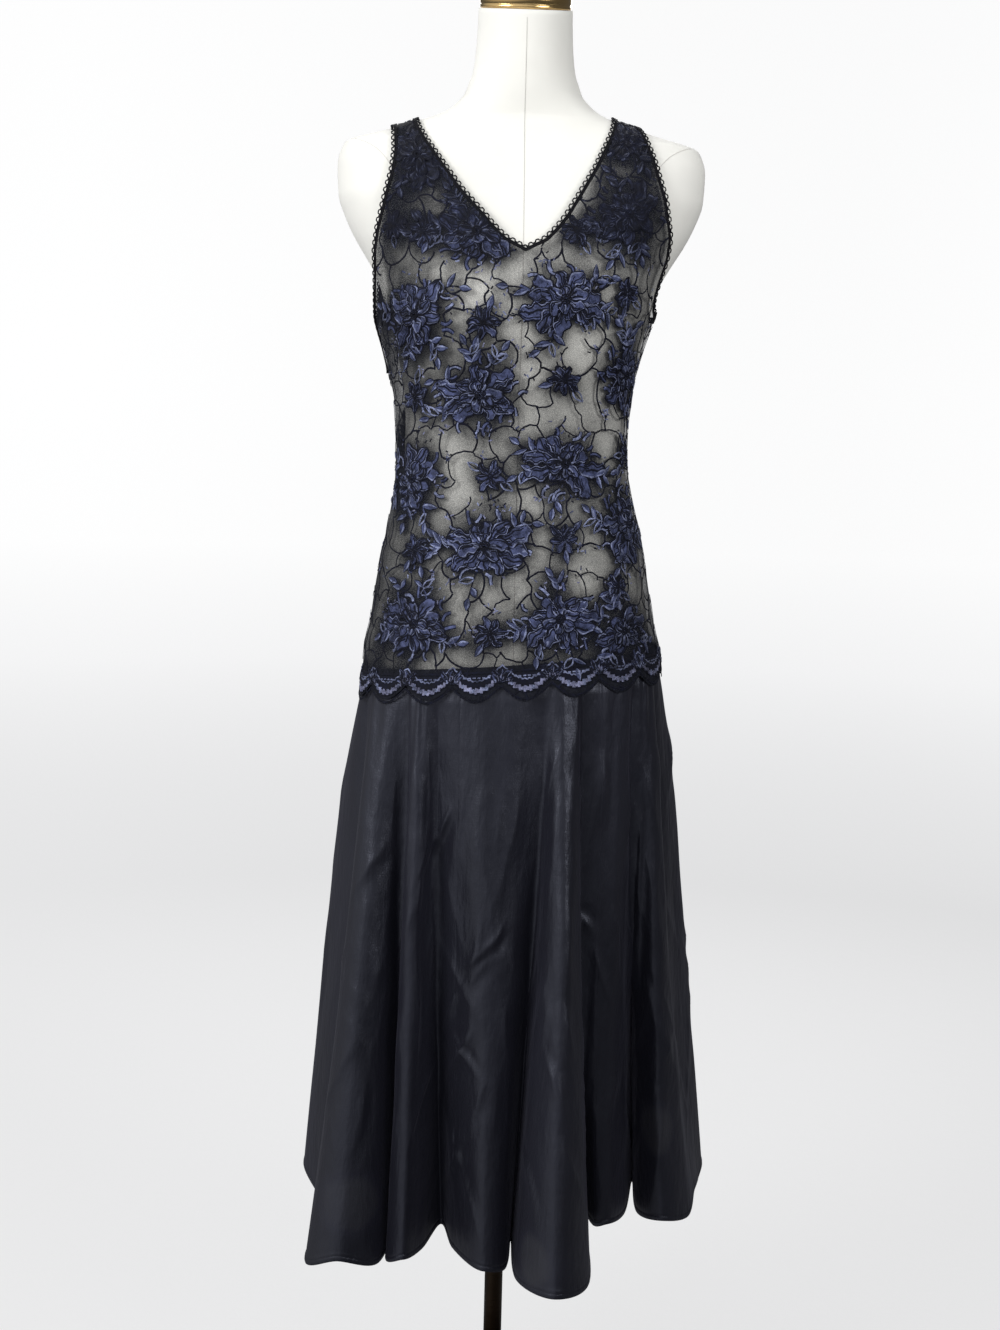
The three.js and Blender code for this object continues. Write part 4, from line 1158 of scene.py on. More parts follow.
# Blooms: x, height, size, turn and mirroring of each.
BLOOMS = {
    FRONT: [
        (-105, 1242, 1.0, 80, 1), (-103, 1079, 0.95, 70, 1), (-100, 933, 1.0, 10, 1), (42, 1258, 1.05, 25, 1),
        (48, 1098, 1.0, 15, -1), (46, 943, 1.0, 10, 1), (-46, 1322, 1.0, 5, -1), (-39, 1165, 1.05, 0, 1),
        (-31, 1014, 1.05, 5, 1), (108, 1190, 0.95, 60, 1), (114, 1038, 1.0, 75, -1), (104, 1345, 0.95, 50, 1),
        (-107, 1400, 0.9, 60, -1), (112, 930, 0.85, 30, 1), (103, 1425, 0.7, 20, 1),
    ],
    BACK: [
        (-104, 1262, 1.0, 70, 1), (-106, 1100, 0.95, 60, -1), (-104, 945, 1.0, 10, 1),
        (40, 1240, 1.05, 25, -1), (44, 1082, 1.0, 15, 1), (48, 930, 1.0, 10, -1), (-36, 1318, 1.0, 5, 1),
        (-34, 1150, 1.05, 0, -1), (-30, 1000, 1.05, 5, 1), (106, 1172, 0.95, 60, -1), (112, 1020, 1.0, 75, 1),
        (100, 1330, 0.95, 50, -1), (-106, 1392, 0.85, 60, 1), (104, 1420, 0.7, 20, -1),
    ],
}
# Small flowers: x, height, size and turn of each.
FLOWERS = {
    FRONT: [
        (-38, 1234, 1.0, 10), (-27, 1084, 0.95, 30), (-24, 928, 1.0, 0), (-104, 1163, 1.0, 20),
        (-101, 1008, 0.95, 0), (45, 1181, 1.0, 15), (48, 1024, 0.95, 40), (52, 1326, 0.95, 5),
        (104, 1268, 0.9, 30), (112, 1112, 0.9, 10), (-98, 1322, 0.95, 0), (-128, 1330, 0.8, 25),
        (104, 975, 0.85, 25),
    ],
    BACK: [
        (-34, 1225, 1.0, 10), (-30, 1070, 0.95, 30), (-28, 922, 1.0, 0), (-102, 1180, 1.0, 20),
        (-100, 1022, 0.95, 0), (42, 1163, 1.0, 15), (46, 1006, 0.95, 40), (36, 1316, 0.95, 5),
        (106, 1250, 0.9, 30), (110, 1096, 0.9, 10), (-98, 1335, 0.95, 0), (106, 950, 0.85, 25),
    ],
}
SEEDS = {FRONT: 11, BACK: 23}

PICOT_PITCH = 3.2
PICOT_STEPS = np.array([0, 0.8, 1.6, 2.4, PICOT_PITCH])
PICOT_DROPS = np.array([0.3, -1.2, -1.7, -1.2, 0.3])
TOOTH_PITCH = 2.7
TOOTH_HEIGHTS = (6.0, 3.4)
TOOTH_RISE = 10.8
EDGE_CORD_RISE = 0.5
LOWER_CORD_RISE = 7.4
BAND_RISES = (13.6, 16.4, 19.2)
UPPER_CORD_RISE = 20.6
# Level bars over each scallop: height over the cusp line and half length.
BARS = ((7, 15), (10.5, 17), (14, 18))
DASH_PLACES = np.arange(-12, 13, 4.8)
# The sprig over each cusp: angle and length of its petals.
CUSP_PETALS = ((90, 14), (128, 17), (52, 17), (150, 13), (30, 13))


def border(art, rng):
    """The scalloped edge: tiny picots, a light toothed band, and bars and sprigs over the cusps."""
    low, high = (float(end) for end in MAPS[art.turn].reach(EDGE_HEIGHT))
    s = np.arange(low, high, 1.25)
    art.ribbon(art.along_edge(s, EDGE_CORD_RISE), 1.6, 0.1, 0.5, KIND_DARK)
    for left in np.arange(low, high, PICOT_PITCH):
        edge = art.along_edge(left + PICOT_STEPS, PICOT_DROPS)
        art.ribbon(edge, 1.0, 0.1, 0.4, KIND_DARK)
    for index, left in enumerate(np.arange(low, high, TOOTH_PITCH)):
        tall = TOOTH_HEIGHTS[index % 2]
        middle = art.along_edge(np.array([left + 1.3]), TOOTH_RISE)[0]
        lean = rng.uniform(-0.8, 0.8)
        path = middle + np.array([[-lean, -tall / 2], [0, 0], [lean, tall / 2]])
        art.ribbon(path, rng.uniform(2.6, 3.2), 0.8, 0.8, KIND_LILAC if rng.random() < 0.8 else KIND_RIM)
    art.ribbon(art.along_edge(s, LOWER_CORD_RISE), 1.2, 0.6, 0.4, KIND_DARK)
    grid = np.stack([art.along_edge(s, rise) for rise in BAND_RISES], 1)
    art.add(grid, np.array([[0.4, 0.9, 0.4]]), KIND_DARK)
    wavy = UPPER_CORD_RISE + 0.7 * np.sin(s * 1.4)
    art.ribbon(art.along_edge(s, wavy), 1.5, 0.7, 0.5, KIND_RIM)
    first = math.ceil((low - SCALLOP_PHASE) / SCALLOP_PITCH - 0.5)
    last = math.floor((high - SCALLOP_PHASE) / SCALLOP_PITCH + 0.5)
    for index in range(first - 1, last + 2):
        middle = SCALLOP_PHASE + index * SCALLOP_PITCH
        for rise, half in BARS:
            run = middle + np.linspace(-half, half, 15)
            bar = np.stack([run, art.cusp_height(run) + rise + 0.4 * np.sin(run)], 1)
            art.ribbon(bar, 2.2, 0.5, 0.4, KIND_DARK)
        for at in middle + DASH_PLACES:
            run = at + np.array([-1.6, 0, 1.6])
            art.ribbon(np.stack([run, art.cusp_height(run) + 8.8], 1), 1.3, 0.9, 0.4, KIND_RIM)
        cusp = middle + SCALLOP_PITCH / 2
        foot = np.array([cusp, float(art.cusp_height(np.array([cusp]))[0]) + 4])
        for angle, length in CUSP_PETALS:
            petal(art, foot, angle + rng.uniform(-6, 6), length, 5.5, rng.uniform(-30, 30), rng, 0.5)


SPRIG_ANGLES = [20, 75, 110, 160, 200, 250, 290, 340]
SPRIG_START = 30
SPRIG_ENDS = (48, 58)
STITCH_REACH = 40
LEAF_ANGLES = [0, 60, 120, 180, 240, 300]
LEAF_REACH = 13


def place_motifs(art, rng):
    """The blooms with their sprigs and stitches, and then the small flowers with their leaves."""
    chart = MAPS[art.turn]
    for x, z, scale, turned, mirror in BLOOMS[art.turn]:
        place = np.array([chart.from_x([x], [z])[0], z])
        for angle in rng.choice(SPRIG_ANGLES, 4, replace=False):
            heading = math.radians(angle + rng.uniform(-12, 12))
            start = place + SPRIG_START * scale * toward(heading, 0.85)
            end = place + rng.uniform(*SPRIG_ENDS) * scale * toward(heading, 0.9)
            sprig(art, start, end, rng.uniform(-0.25, 0.25), rng)
        for _ in range(3):
            stitches(art, place + STITCH_REACH * scale * toward(rng.uniform(0, 6.28), 0.9), 6, 6, rng)
        bloom(art, place, scale, turned, rng, mirror)
    for x, z, scale, turned in FLOWERS[art.turn]:
        place = np.array([chart.from_x([x], [z])[0], z])
        for angle in rng.choice(LEAF_ANGLES, 2, replace=False) + turned:
            root = place + LEAF_REACH * scale * toward(math.radians(angle))
            leaf(art, root, angle, 15 * scale, 7 * scale, rng, rng.random() < 0.5)
        stitches(art, place + rng.uniform(-20, 20, 2), 5, 5, rng)
        small_flower(art, place, scale, turned, rng)


HALO_STEP = 3
HALO_SPREAD = 2.4
HALO_REACH = np.arange(-7, 8)
HALO_BINS = [np.arange(-330, 331, HALO_STEP), np.arange(850, 1480, HALO_STEP)]


def shade_net(net, places, art, cords):
    """Marks the net round the motifs, where close stitching and its shadow make it look denser."""
    flat = np.concatenate(art.flat[cords:])
    filled = np.minimum(np.histogram2d(flat[:, 0], flat[:, 1], bins=HALO_BINS)[0], 1)
    kernel = np.exp(-0.5 * (HALO_REACH / HALO_SPREAD) ** 2)
    kernel /= kernel.sum()
    for axis in (0, 1):
        filled = np.apply_along_axis(np.convolve, axis, filled, kernel, mode="same")
    row, column = (
        np.clip(((at - bins[0]) / HALO_STEP).astype(int), 0, size - 1)
        for at, bins, size in zip((MAPS[art.turn].from_x(*places.T), places[:, 1]), HALO_BINS, filled.shape)
    )
    shade = net.data.attributes.new("shade", "FLOAT", "POINT")
    shade.data.foreach_set("value", filled[row, column].astype(np.float32))


def make_embroidery(nets):
    """The cords, motifs and border of each side as one piece."""
    made = {}
    for turn, name in PANEL_NAMES.items():
        rng = np.random.default_rng(SEEDS[turn])
        art = Embroidery(turn)
        cells(art, rng)
        cords = len(art.flat)
        place_motifs(art, rng)
        border(art, rng)
        made[turn] = as_piece(art.finish(f"embroidery_{name}"), "lace")
        shade_net(*nets[turn], art, cords)
    return made


# ---------------------------------------------------------------- the looped edging
CORD_STEP = 0.85
CORD_RADIUS = 0.7
SHOULDER_TOP = 1425
SMOOTH_REACH = 4


def edge_frames(edge, inside, closed):
    """Fine points along an edge, with the direction away from the cloth and the one off its face."""
    if closed:
        edge = np.concatenate([edge, edge[:1]])
        inside = np.concatenate([inside, inside[:1]])
    length = path_lengths(edge)
    keep = np.concatenate([[True], np.diff(length) > 1e-4])
    edge, inside, length = edge[keep], inside[keep], length[keep]
    along = unit(np.gradient(edge, axis=0))
    away = edge - inside
    away = unit(away - along * (away * along).sum(1)[:, None])
    normal = unit(np.cross(along, away))
    out = edge * [1, 1, 0]
    out[:, 2] = 60 * (edge[:, 2] > SHOULDER_TOP)
    normal = normal * np.sign((normal * out).sum(1))[:, None]
    fine = np.linspace(0, length[-1], int(length[-1] / CORD_STEP))
    points, *frames = [path_values(fine, length, values) for values in (edge, away, normal)]
    kernel = np.ones(2 * SMOOTH_REACH + 1) / (2 * SMOOTH_REACH + 1)
    smooth = []
    for vectors in frames:
        padded = np.pad(vectors, ((SMOOTH_REACH, SMOOTH_REACH), (0, 0)), mode="wrap" if closed else "edge")
        smooth.append(unit(np.stack([np.convolve(padded[:, axis], kernel, "valid") for axis in range(3)], 1)))
    return (points, *smooth, fine)


CORD_PLACES = (-0.9, 1.1)
# The bound edge between the cords: distance from the cloth's edge and height over it.
BAND_PROFILE = ((-1.8, 0.8), (0.1, 1.2), (1.8, 0.8))
LOOP_PITCH = 7.6
LOOP_RADIUS = 0.72
LOOP_MIDDLE = 3.4
LOOP_SKEW = 0.7


def picot_edging(name, node, edge, inside, closed=False):
    """Two cords with a bound edge between them, and a row of small loops."""
    points, away, normal, fine = edge_frames(edge, inside, closed)
    build = Build()
    for distance in CORD_PLACES:
        build.tube(points + away * distance + normal * 1.0, normal, CORD_RADIUS)
    band = [points + away * d + normal * h for d, h in BAND_PROFILE]
    build.grid(np.stack(band, 1))
    swing = LOOP_MIDDLE - 1.0 * np.cos(2 * math.pi * fine / LOOP_PITCH)
    skew = LOOP_SKEW * np.sin(4 * math.pi * fine / LOOP_PITCH)
    along = unit(np.gradient(points, axis=0))
    loops = points + away * swing[:, None] + along * skew[:, None] + normal * 0.9
    build.tube(loops, normal, LOOP_RADIUS)
    return as_piece(build.finish(name, CORD), "picot_edging", node)


def make_edgings():
    """The edgings of the armholes and of the neck. The neck's two are returned."""
    rows = {(turn, side): panel_points(turn, side, NET_LIFT)[0][HANGING_ROWS:]
            for turn in (FRONT, BACK) for side in (LEFT, RIGHT)}
    made = {}
    for turn, name in PANEL_NAMES.items():
        left, right = rows[turn, LEFT], rows[turn, RIGHT]
        edge = np.concatenate([left[NECK_ROW:, 0][::-1], right[NECK_ROW + 1:, 0]])
        inside = np.concatenate([left[NECK_ROW + 1:, 1][::-1], left[NECK_ROW - 1:NECK_ROW, 0],
                                 right[NECK_ROW + 1:, 1]])
        made[turn] = picot_edging(f"picot_neck_{name}", f"neck_edging_{name}", edge, inside)
    on_seam = np.array([1, 0, 1])
    for side, name in ((LEFT, "left"), (RIGHT, "right")):
        front, back = rows[FRONT, side][UNDERARM_ROW - 1:], rows[BACK, side][UNDERARM_ROW - 1:]
        rising, falling = front[2:-1], back[2:-1][::-1]
        edge = np.concatenate([front[1:2, -1] * on_seam, rising[:, -1], front[-1:, -1] * on_seam,
                               falling[:, -1]])
        inside = np.concatenate([front[:1, -1] * on_seam, rising[:, -2], front[-1:, -2] * on_seam,
                                 falling[:, -2]])
        picot_edging(f"picot_armhole_{name}", f"armhole_edging_{name}", edge, inside, True)
    return made


# ---------------------------------------------------------------- the satin skirt
HEM_POINTS = np.array([(fold[1 + 2 * k], fold[2 + 2 * k]) for fold in FOLDS for k in range(4)], float)
TOP_ANGLES = np.array([fold[9] for fold in FOLDS], float)
TOP_ANGLES[1:5] = -41, -27, 9, 25  # the gathers start a little further round than the folds of the CAD
# How much lower the cloth hangs at each fold's left flank, crest, right flank and valley.
HEM_DROPS = np.tile([6.0, 0.0, 6.0, 0.0], (len(FOLDS), 1))
HEM_DROPS[1:7] = [(13, -7, 8, 0), (7, -3, 3, -4), (2, 0, 6, 0), (9, 0, 9, 0), (4, 0, 8, 0), (9, 0, 12, 2)]
FALLS = np.array([fold[10] for fold in FOLDS], float)


def hem_point(place):
    """The hem in plan, by fold and share of it from valley to valley: a centripetal spline."""
    spans = len(HEM_POINTS)
    u = (4 * place - 1) % spans
    index = np.floor(u).astype(int)
    t = (u - index)[..., None]
    before, start, end, after = (HEM_POINTS[(index + k) % spans] for k in (-1, 0, 1, 2))
    gaps = [np.linalg.norm(b - a, axis=-1, keepdims=True) ** 0.5
            for a, b in ((before, start), (start, end), (end, after))]
    leave = (start - before) / gaps[0] - (end - before) / (gaps[0] + gaps[1]) + (end - start) / gaps[1]
    arrive = (end - start) / gaps[1] - (after - start) / (gaps[1] + gaps[2]) + (after - end) / gaps[2]
    leave, arrive = leave * gaps[1], arrive * gaps[1]
    square = -3 * start + 3 * end - 2 * leave - arrive
    cube = 2 * start - 2 * end + leave + arrive
    return start + leave * t + square * t**2 + cube * t**3


def skirt_point(place, share):
    """A point of the skirt. Place counts folds round the body, and share goes from the seam to the hem."""
    place, share = np.broadcast_arrays(np.asarray(place, float), np.asarray(share, float))
    count = len(FOLDS)
    index = np.floor(place).astype(int) % count
    t = place - np.floor(place)
    before = np.where(index == 0, TOP_ANGLES[-1] - 360, TOP_ANGLES[index - 1])
    angle = np.radians(lerp(before, TOP_ANGLES[index], t))
    ripple = SKIRT_TOP_RIPPLE * np.cos(math.pi * t) ** 2
    level = section_point(cloth_section(np.full(angle.shape, float(SKIRT_SEAM_HEIGHT))), angle, 0.0)
    height = seam_height(level[..., 0])
    section = cloth_section(height)
    for size in ("side", "front", "back"):
        section[size] = section[size] - SKIRT_INSET - ripple
    seam = section_point(section, angle, height)
    hem = hem_point(place)
    hem_height = SKIRT_HEM_HEIGHT + SKIRT_HEM_SLOPE_X * hem[..., 0] + SKIRT_HEM_SLOPE_Y * hem[..., 1]
    drops = np.append(HEM_DROPS.ravel(), HEM_DROPS[0, 0])
    hem_height = hem_height - smooth_curve(np.arange(len(drops)), drops)((4 * place - 1) % (4 * count))
    z = lerp(seam[..., 2], hem_height, share)
    top = flared(seam, seam[..., 2] - z)
    free = np.maximum(0, share - COVERED_SHARE) / (1 - COVERED_SHARE)
    lift = 1 - np.abs(np.cos(math.pi * t)) ** FOLD_FULLNESS
    opened = lerp(free**VALLEY_FALL, free ** FALLS[index], lift)
    x, y = (lerp(top[..., axis], hem[..., axis], opened) for axis in (0, 1))
    return np.stack([x, y, z], -1)


def skirt_normal(place, share):
    around = skirt_point(place + 0.01, share) - skirt_point(place - 0.01, share)
    above, below = np.maximum(share - 0.006, 0), np.minimum(share + 0.006, 1)
    return unit(np.cross(skirt_point(place, below) - skirt_point(place, above), around))


# Creases of the skirt's front: x and height of the ends, width, depth and bow.
FRONT_CREASES = [
    (-56, 760, -98, 668, 5, 3.6, 0.04), (0, 640, -56, 572, 5, 3.8, 0.06),
    (-56, 512, -14, 462, 5, 2.6, 0.0), (-28, 530, -62, 446, 5, 3.0, 0.0),
    (70, 644, 94, 604, 5, 3.4, 0.08), (92, 610, 128, 510, 5, 2.4, -0.06),
    (36, 520, 62, 432, 5, 3.0, 0.06), (-68, 480, -100, 370, 6, 2.6, -0.04),
    (18, 410, 36, 310, 6, 2.4, 0.06), (-38, 430, -64, 320, 6, 2.4, 0.05),
    (150, 570, 166, 460, 6, 2.2, 0.06), (138, 450, 154, 340, 6, 2.0, -0.06),
    (-144, 480, -160, 370, 6, 2.4, 0.06), (-8, 770, -14, 690, 5, 1.6, 0.0),
    (-84, 824, -80, 735, 5, 1.8, 0.0), (28, 820, 34, 716, 5, 1.8, 0.0), (94, 812, 102, 700, 5, 1.8, 0.0),
    (60, 570, 78, 490, 6, 2.2, -0.08), (-116, 792, -122, 690, 5, 1.6, 0.0),
    (-28, 650, -46, 550, 5, 2.2, 0.08), (-10, 606, -42, 546, 5, 2.4, -0.08),
    (-46, 566, -64, 495, 5, 2.2, 0.0), (42, 570, 28, 490, 5, 2.2, 0.08),
    (82, 480, 102, 400, 5, 2.0, 0.08), (-90, 690, -106, 600, 5, 2.0, 0.06),
    (-18, 480, -38, 390, 5, 2.2, 0.0), (108, 650, 120, 550, 5, 2.0, 0.04),
    (0, 560, 10, 470, 5, 2.0, -0.06),
]
CREASE_PLACES = np.arange(0, len(FOLDS), 0.02)
CREASE_SHARES = np.linspace(0, 1, 160)
CREASE_STEPS = 9
CREASE_BROADER = 1.3
LARGEST_JUMP = 2.5
SMOOTHINGS = 3
LOOSE_CREASES = 165


def crease_paths(rng):
    """Each crease as points on the skirt, with its width and depth."""
    places, shares = np.meshgrid(CREASE_PLACES, CREASE_SHARES, indexing="ij")
    front = skirt_point(places, shares)[skirt_normal(places, shares)[..., 1] < -0.25]
    paths = []
    for x0, z0, x1, z1, width, depth, bow in FRONT_CREASES:
        found = []
        for x, z in arc_points((x0, z0), (x1, z1), bow, CREASE_STEPS):
            gap = np.hypot(front[:, 0] - x, front[:, 2] - z) + 0.05 * (front[:, 1] - front[:, 1].min())
            found.append(front[gap.argmin()])
        found = np.array(found)
        for _ in range(SMOOTHINGS):
            found[1:-1] = (found[:-2] + 2 * found[1:-1] + found[2:]) / 4
        steps = np.linalg.norm(np.diff(found, axis=0), axis=1)
        if steps.max() < LARGEST_JUMP * steps.mean():  # else it leaps from one fold to another
            paths.append((found, CREASE_BROADER * width, CREASE_BROADER * depth))
    for _ in range(LOOSE_CREASES):
        place, share = rng.uniform(0, len(FOLDS)), rng.uniform(0.10, 0.78)
        run, drop = rng.uniform(-0.5, 0.5), rng.uniform(0.12, 0.32)
        t = np.linspace(0, 1, CREASE_STEPS)
        path = skirt_point(place + run * t + 0.05 * np.sin(3 * t), share + drop * t)
        paths.append((path, rng.uniform(8, 15), rng.uniform(1.2, 3.2)))
    return paths


def crease_relief(points, paths):
    """How far each crease pushes the cloth out: a sharp ridge with a hollow on one side."""
    lift = np.zeros(len(points))
    for path, width, depth in paths:
        low, high = path.min(0) - 4 * width, path.max(0) + 4 * width
        near = np.flatnonzero(((points > low) & (points < high)).all(1))
        if not len(near):
            continue
        best = np.full(len(near), 1e9)
        signed = np.zeros(len(near))
        ends = np.zeros(len(near))
        for index in range(len(path) - 1):
            step = path[index + 1] - path[index]
            from_start = points[near] - path[index]
            along = np.clip((from_start @ step) / max(step @ step, 1e-9), 0, 1)
            gap = from_start - along[:, None] * step
            distance = np.linalg.norm(gap, axis=1)
            closer = distance < best
            best[closer] = distance[closer]
            side = np.sign(gap[:, 0] * -step[2] + gap[:, 2] * step[0])
            signed[closer] = (distance * side)[closer]
            ends[closer] = ((index + along) / (len(path) - 1))[closer]
        fade = smoothstep(ends, 0, 0.35) * (1 - smoothstep(ends, 0.35, 1))
        across = signed / width
        lift[near] += depth * fade * (np.exp(-np.abs(across) * 1.5) - 0.45 * np.exp(-((across - 1.1) ** 2)))
    return lift


def soft_ripples(place, share):
    """Low uneven waves down the cloth, strongest where the gathers leave the seam."""
    t = place - np.round(place)
    upper = smoothstep(share, 0.02, 0.09) * (1 - smoothstep(share, 0.25, 0.6))
    swell = 4.2 * (np.sin(math.pi * (place - np.floor(place))) ** 2 - 0.3)
    swell = swell * smoothstep(share, 0.05, 0.24) * (1 - smoothstep(share, 0.25, 0.8))
    depth = 3.2 + 1.4 * np.sin(place * 2.3)
    pleat = -depth * np.exp(-((t / 0.11) ** 2)) + 0.9 * np.exp(-(((np.abs(t) - 0.26) / 0.14) ** 2))
    gathers = np.sin(place * 19.0 + 1.3 * np.sin(place * 5)) * np.exp(-((share - 0.08) / 0.12) ** 2)
    long = np.sin(place * 8.3 + 2.1 * share) * np.sin(math.pi * share) ** 0.8
    fine = np.sin(place * 27 + 9 * share + np.sin(11 * share + place)) * np.sin(math.pi * share)
    return swell + upper * pleat + 0.6 * gathers + 0.9 * long + 0.25 * fine


FOLD_STEPS = 56
SKIRT_ROW_SHARES = np.linspace(0, 1, 220)
SEAM_ALLOWANCE = 4
SEAM_PLACE = 0.006  # an extra column this share of a fold from each seam
GROOVE_WIDTH = 0.008
GROOVE_DEPTH = 0.25
HEM_START = 6.6
# The rolled hem: height over its lowest edge, and how far it stands out.
HEM_PROFILE = [(6.2, 0.0), (5.4, -0.5), (4.6, 0.3), (3.0, 0.4), (1.0, 0.5), (-0.2, 0.2), (-0.4, -0.3),
               (2.0, -0.7), (4.5, -0.9)]


def gore_runs():
    """Each gore's name with its first and last place, a share past the valley."""
    runs = {}
    for index, fold in enumerate(FOLDS):
        first, _ = runs.get(fold[0], (index + 0.25, None))
        runs[fold[0]] = (first, index + 1.25)
    return runs


def make_skirt():
    """The gores, with their creases, grooves at the seams, rolled hems and seam allowances."""
    paths = crease_paths(np.random.default_rng(5))
    made = {}
    for gore, (first, last) in gore_runs().items():
        place = np.linspace(first, last, round(last - first) * FOLD_STEPS + 1)
        place = np.sort(np.append(place, [first + SEAM_PLACE, last - SEAM_PLACE]))
        grid_place, grid_share = np.meshgrid(place, SKIRT_ROW_SHARES)
        points = skirt_point(grid_place, grid_share)
        normals = skirt_normal(grid_place, grid_share)
        lift = crease_relief(points.reshape(-1, 3), paths).reshape(grid_share.shape)
        lift = lift * smoothstep(grid_share, 0.03, 0.09) * smoothstep(1 - grid_share, -0.02, 0.05)
        lift = lift + soft_ripples(grid_place, grid_share)
        groove = sum(np.exp(-((place - seam) / GROOVE_WIDTH) ** 2) for seam in (first, last))
        points = points + normals * (lift - GROOVE_DEPTH * groove)[..., None]
        hem, hem_normal = points[-1], normals[-1]
        rolled = [hem + hem_normal * out + [0, 0, up] for up, out in HEM_PROFILE]
        build = Build()
        body = points[points[:, 0, 2] > hem[0, 2] + HEM_START]
        build.grid(np.array([*body, *rolled]), flip=True)
        for column in (0, -1):  # the cloth turned in behind the seam
            edge = points[:-1, column]
            turned = edge - normals[:-1, column] * SEAM_ALLOWANCE
            build.grid(np.stack([edge, turned], 1))
        made[gore] = as_piece(build.finish(f"gore_{gore}", SATIN), "satin_skirt", f"skirt_{gore}")
    return made


# ---------------------------------------------------------------- stage, lights and camera
STAGE_RADIUS = 3600
STAGE_COVE = 900
STAGE_TOP = 5200
STAGE_DROP = 0.4


def make_stage():
    """A round floor that curves up into a wall. It glows with painted light, with painted shade towards the
    floor and towards the right. It lights nothing and casts no shadow.
    """
    plaster_painted_light = Shader("plaster_painted_light", Specular_IOR_Level=0.2, Base_Color=(0.25, 0.25, 0.25, 1),
                     Emission_Strength=0.95)
    # Painted shade: the glow is dimmer towards the floor and towards the right of the wall.
    tone = plaster_painted_light.span(plaster_painted_light.axis("Z"), 0.0, 3.4)
    color = plaster_painted_light.ramp(tone, [(0.0, (0.70, 0.70, 0.705)), (0.06, (0.83, 0.83, 0.835)),
                                (0.16, (0.93, 0.93, 0.93)), (0.35, (0.94, 0.94, 0.94))])
    aside = plaster_painted_light.span(plaster_painted_light.axis("X"), -1.2, 1.2, 1.0, 0.93, smooth=False)
    shaded = plaster_painted_light.node("ShaderNodeVectorMath", {0: color, "Scale": aside}, operation="SCALE")
    plaster_painted_light.link("Emission Color", shaded.outputs[0])
    grain = plaster_painted_light.noise(26, detail=6, roughness=0.7)
    plaster_painted_light.link("Roughness", plaster_painted_light.span(grain, 0.3, 0.7, 0.85, 0.95))
    plaster_painted_light.bump(grain, 0.004, 0.25)
    cove = rounded_corner(STAGE_RADIUS - STAGE_COVE, STAGE_COVE, STAGE_COVE, -90, 0, 16)
    profile = [(1, 0), (800, 0), (1700, 0), *cove, (STAGE_RADIUS, STAGE_TOP * 0.6), (STAGE_RADIUS, STAGE_TOP)]
    lowered = [(radius, height - STAGE_DROP) for radius, height in profile]
    stage = revolved("stage_floor", lowered, plaster_painted_light.material, 128)
    for ray in ("visible_diffuse", "visible_glossy", "visible_shadow", "visible_transmission"):
        setattr(stage, ray, False)


def area_light(name, place, target, size, power, spread):
    light = bpy.data.lights.new(name, "AREA")
    light.shape = "DISK"
    light.size = size
    light.energy = power
    light.spread = math.radians(spread)
    lamp = bpy.data.objects.new(name, light)
    bpy.context.scene.collection.objects.link(lamp)
    lamp.location = place
    lamp.rotation_euler = (Vector(target) - Vector(place)).to_track_quat("-Z", "Y").to_euler()


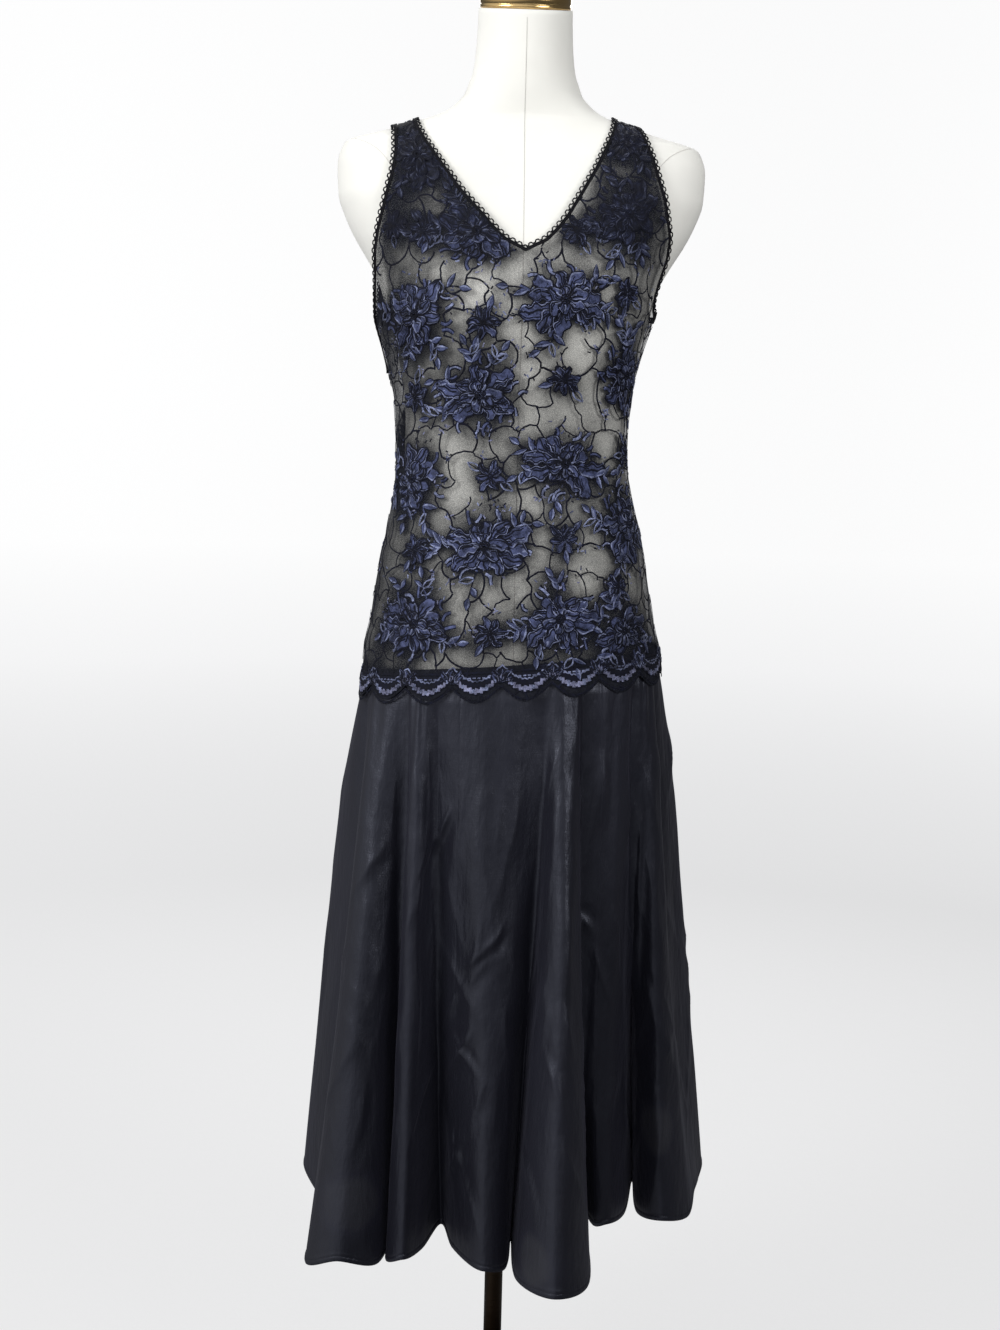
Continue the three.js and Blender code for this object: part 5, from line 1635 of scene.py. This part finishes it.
def make_lights():
    """A soft sky, brightest on the upper left in front, with a key, a fill and a back light."""
    world = bpy.data.worlds.new("studio")
    world.use_nodes = True
    background = world.node_tree.nodes["Background"]
    background.inputs["Color"].default_value = (0.97, 0.98, 1.0, 1)
    tree = world.node_tree
    facing = tree.nodes.new("ShaderNodeVectorMath")
    facing.operation = "DOT_PRODUCT"
    facing.inputs[1].default_value = (-0.70, -0.52, 0.49)
    tree.links.new(tree.nodes.new("ShaderNodeTexCoord").outputs["Generated"], facing.inputs[0])
    level = tree.nodes.new("ShaderNodeMapRange")
    level.interpolation_type = "SMOOTHSTEP"
    for socket, value in (("From Min", 0.0), ("From Max", 0.93), ("To Min", 0.11), ("To Max", 0.80)):
        level.inputs[socket].default_value = value
    tree.links.new(facing.outputs["Value"], level.inputs["Value"])
    tree.links.new(level.outputs["Result"], background.inputs["Strength"])
    bpy.context.scene.world = world
    area_light("key", (-2.3, -1.7, 2.3), (0, 0, 1.45), size=1.5, power=7.4, spread=58)
    area_light("fill", (1.9, -2.2, 2.1), (0, 0, 1.45), size=1.6, power=6.4, spread=58)
    area_light("back", (0.3, 2.6, 2.4), (0, 0, 1.1), size=1.6, power=16, spread=120)


SENSOR = 36
LENS = 44.390977
CAMERA_DISTANCE = 1750
CAMERA_AZIMUTH = -2
CAMERA_HEIGHT = 1080
CAMERA_PITCH = 6.4
CAMERA_ROLL = 1.42
CAMERA_YAW = 0.32


def make_camera():
    """A camera in front of the dress, a little to the left, that looks slightly down."""
    azimuth, pitch, roll, yaw = np.radians([CAMERA_AZIMUTH, CAMERA_PITCH, CAMERA_ROLL, CAMERA_YAW])
    level = np.array([-math.sin(azimuth), math.cos(azimuth), 0])
    place = np.array([0, 0, CAMERA_HEIGHT]) - CAMERA_DISTANCE * level
    heading = yaw + azimuth
    level = np.array([-math.sin(heading), math.cos(heading), 0])
    ahead = level * math.cos(pitch) - np.array([0, 0, math.sin(pitch)])
    right = unit(np.cross(ahead, [0, 0, 1]))
    up = np.cross(right, ahead)
    rolled_right = right * math.cos(roll) + up * math.sin(roll)
    rolled_up = -right * math.sin(roll) + up * math.cos(roll)
    data = bpy.data.cameras.new("camera")
    data.lens = LENS
    data.sensor_width = SENSOR
    data.clip_end = 100
    camera = bpy.data.objects.new("camera", data)
    bpy.context.scene.collection.objects.link(camera)
    axes = Matrix([[*row] for row in np.stack([rolled_right, rolled_up, -ahead], 1)])
    camera.matrix_world = Matrix.Translation(Vector(place * MM)) @ axes.to_4x4()
    bpy.context.scene.camera = camera
    bpy.context.scene.view_settings.view_transform = "Standard"


make_camera()
make_lights()
make_stage()
make_form()
make_form_seams()
make_cap()
make_stand()
NETS = make_nets()
EMBROIDERY = make_embroidery(NETS)
EDGINGS = make_edgings()
GORES = make_skirt()
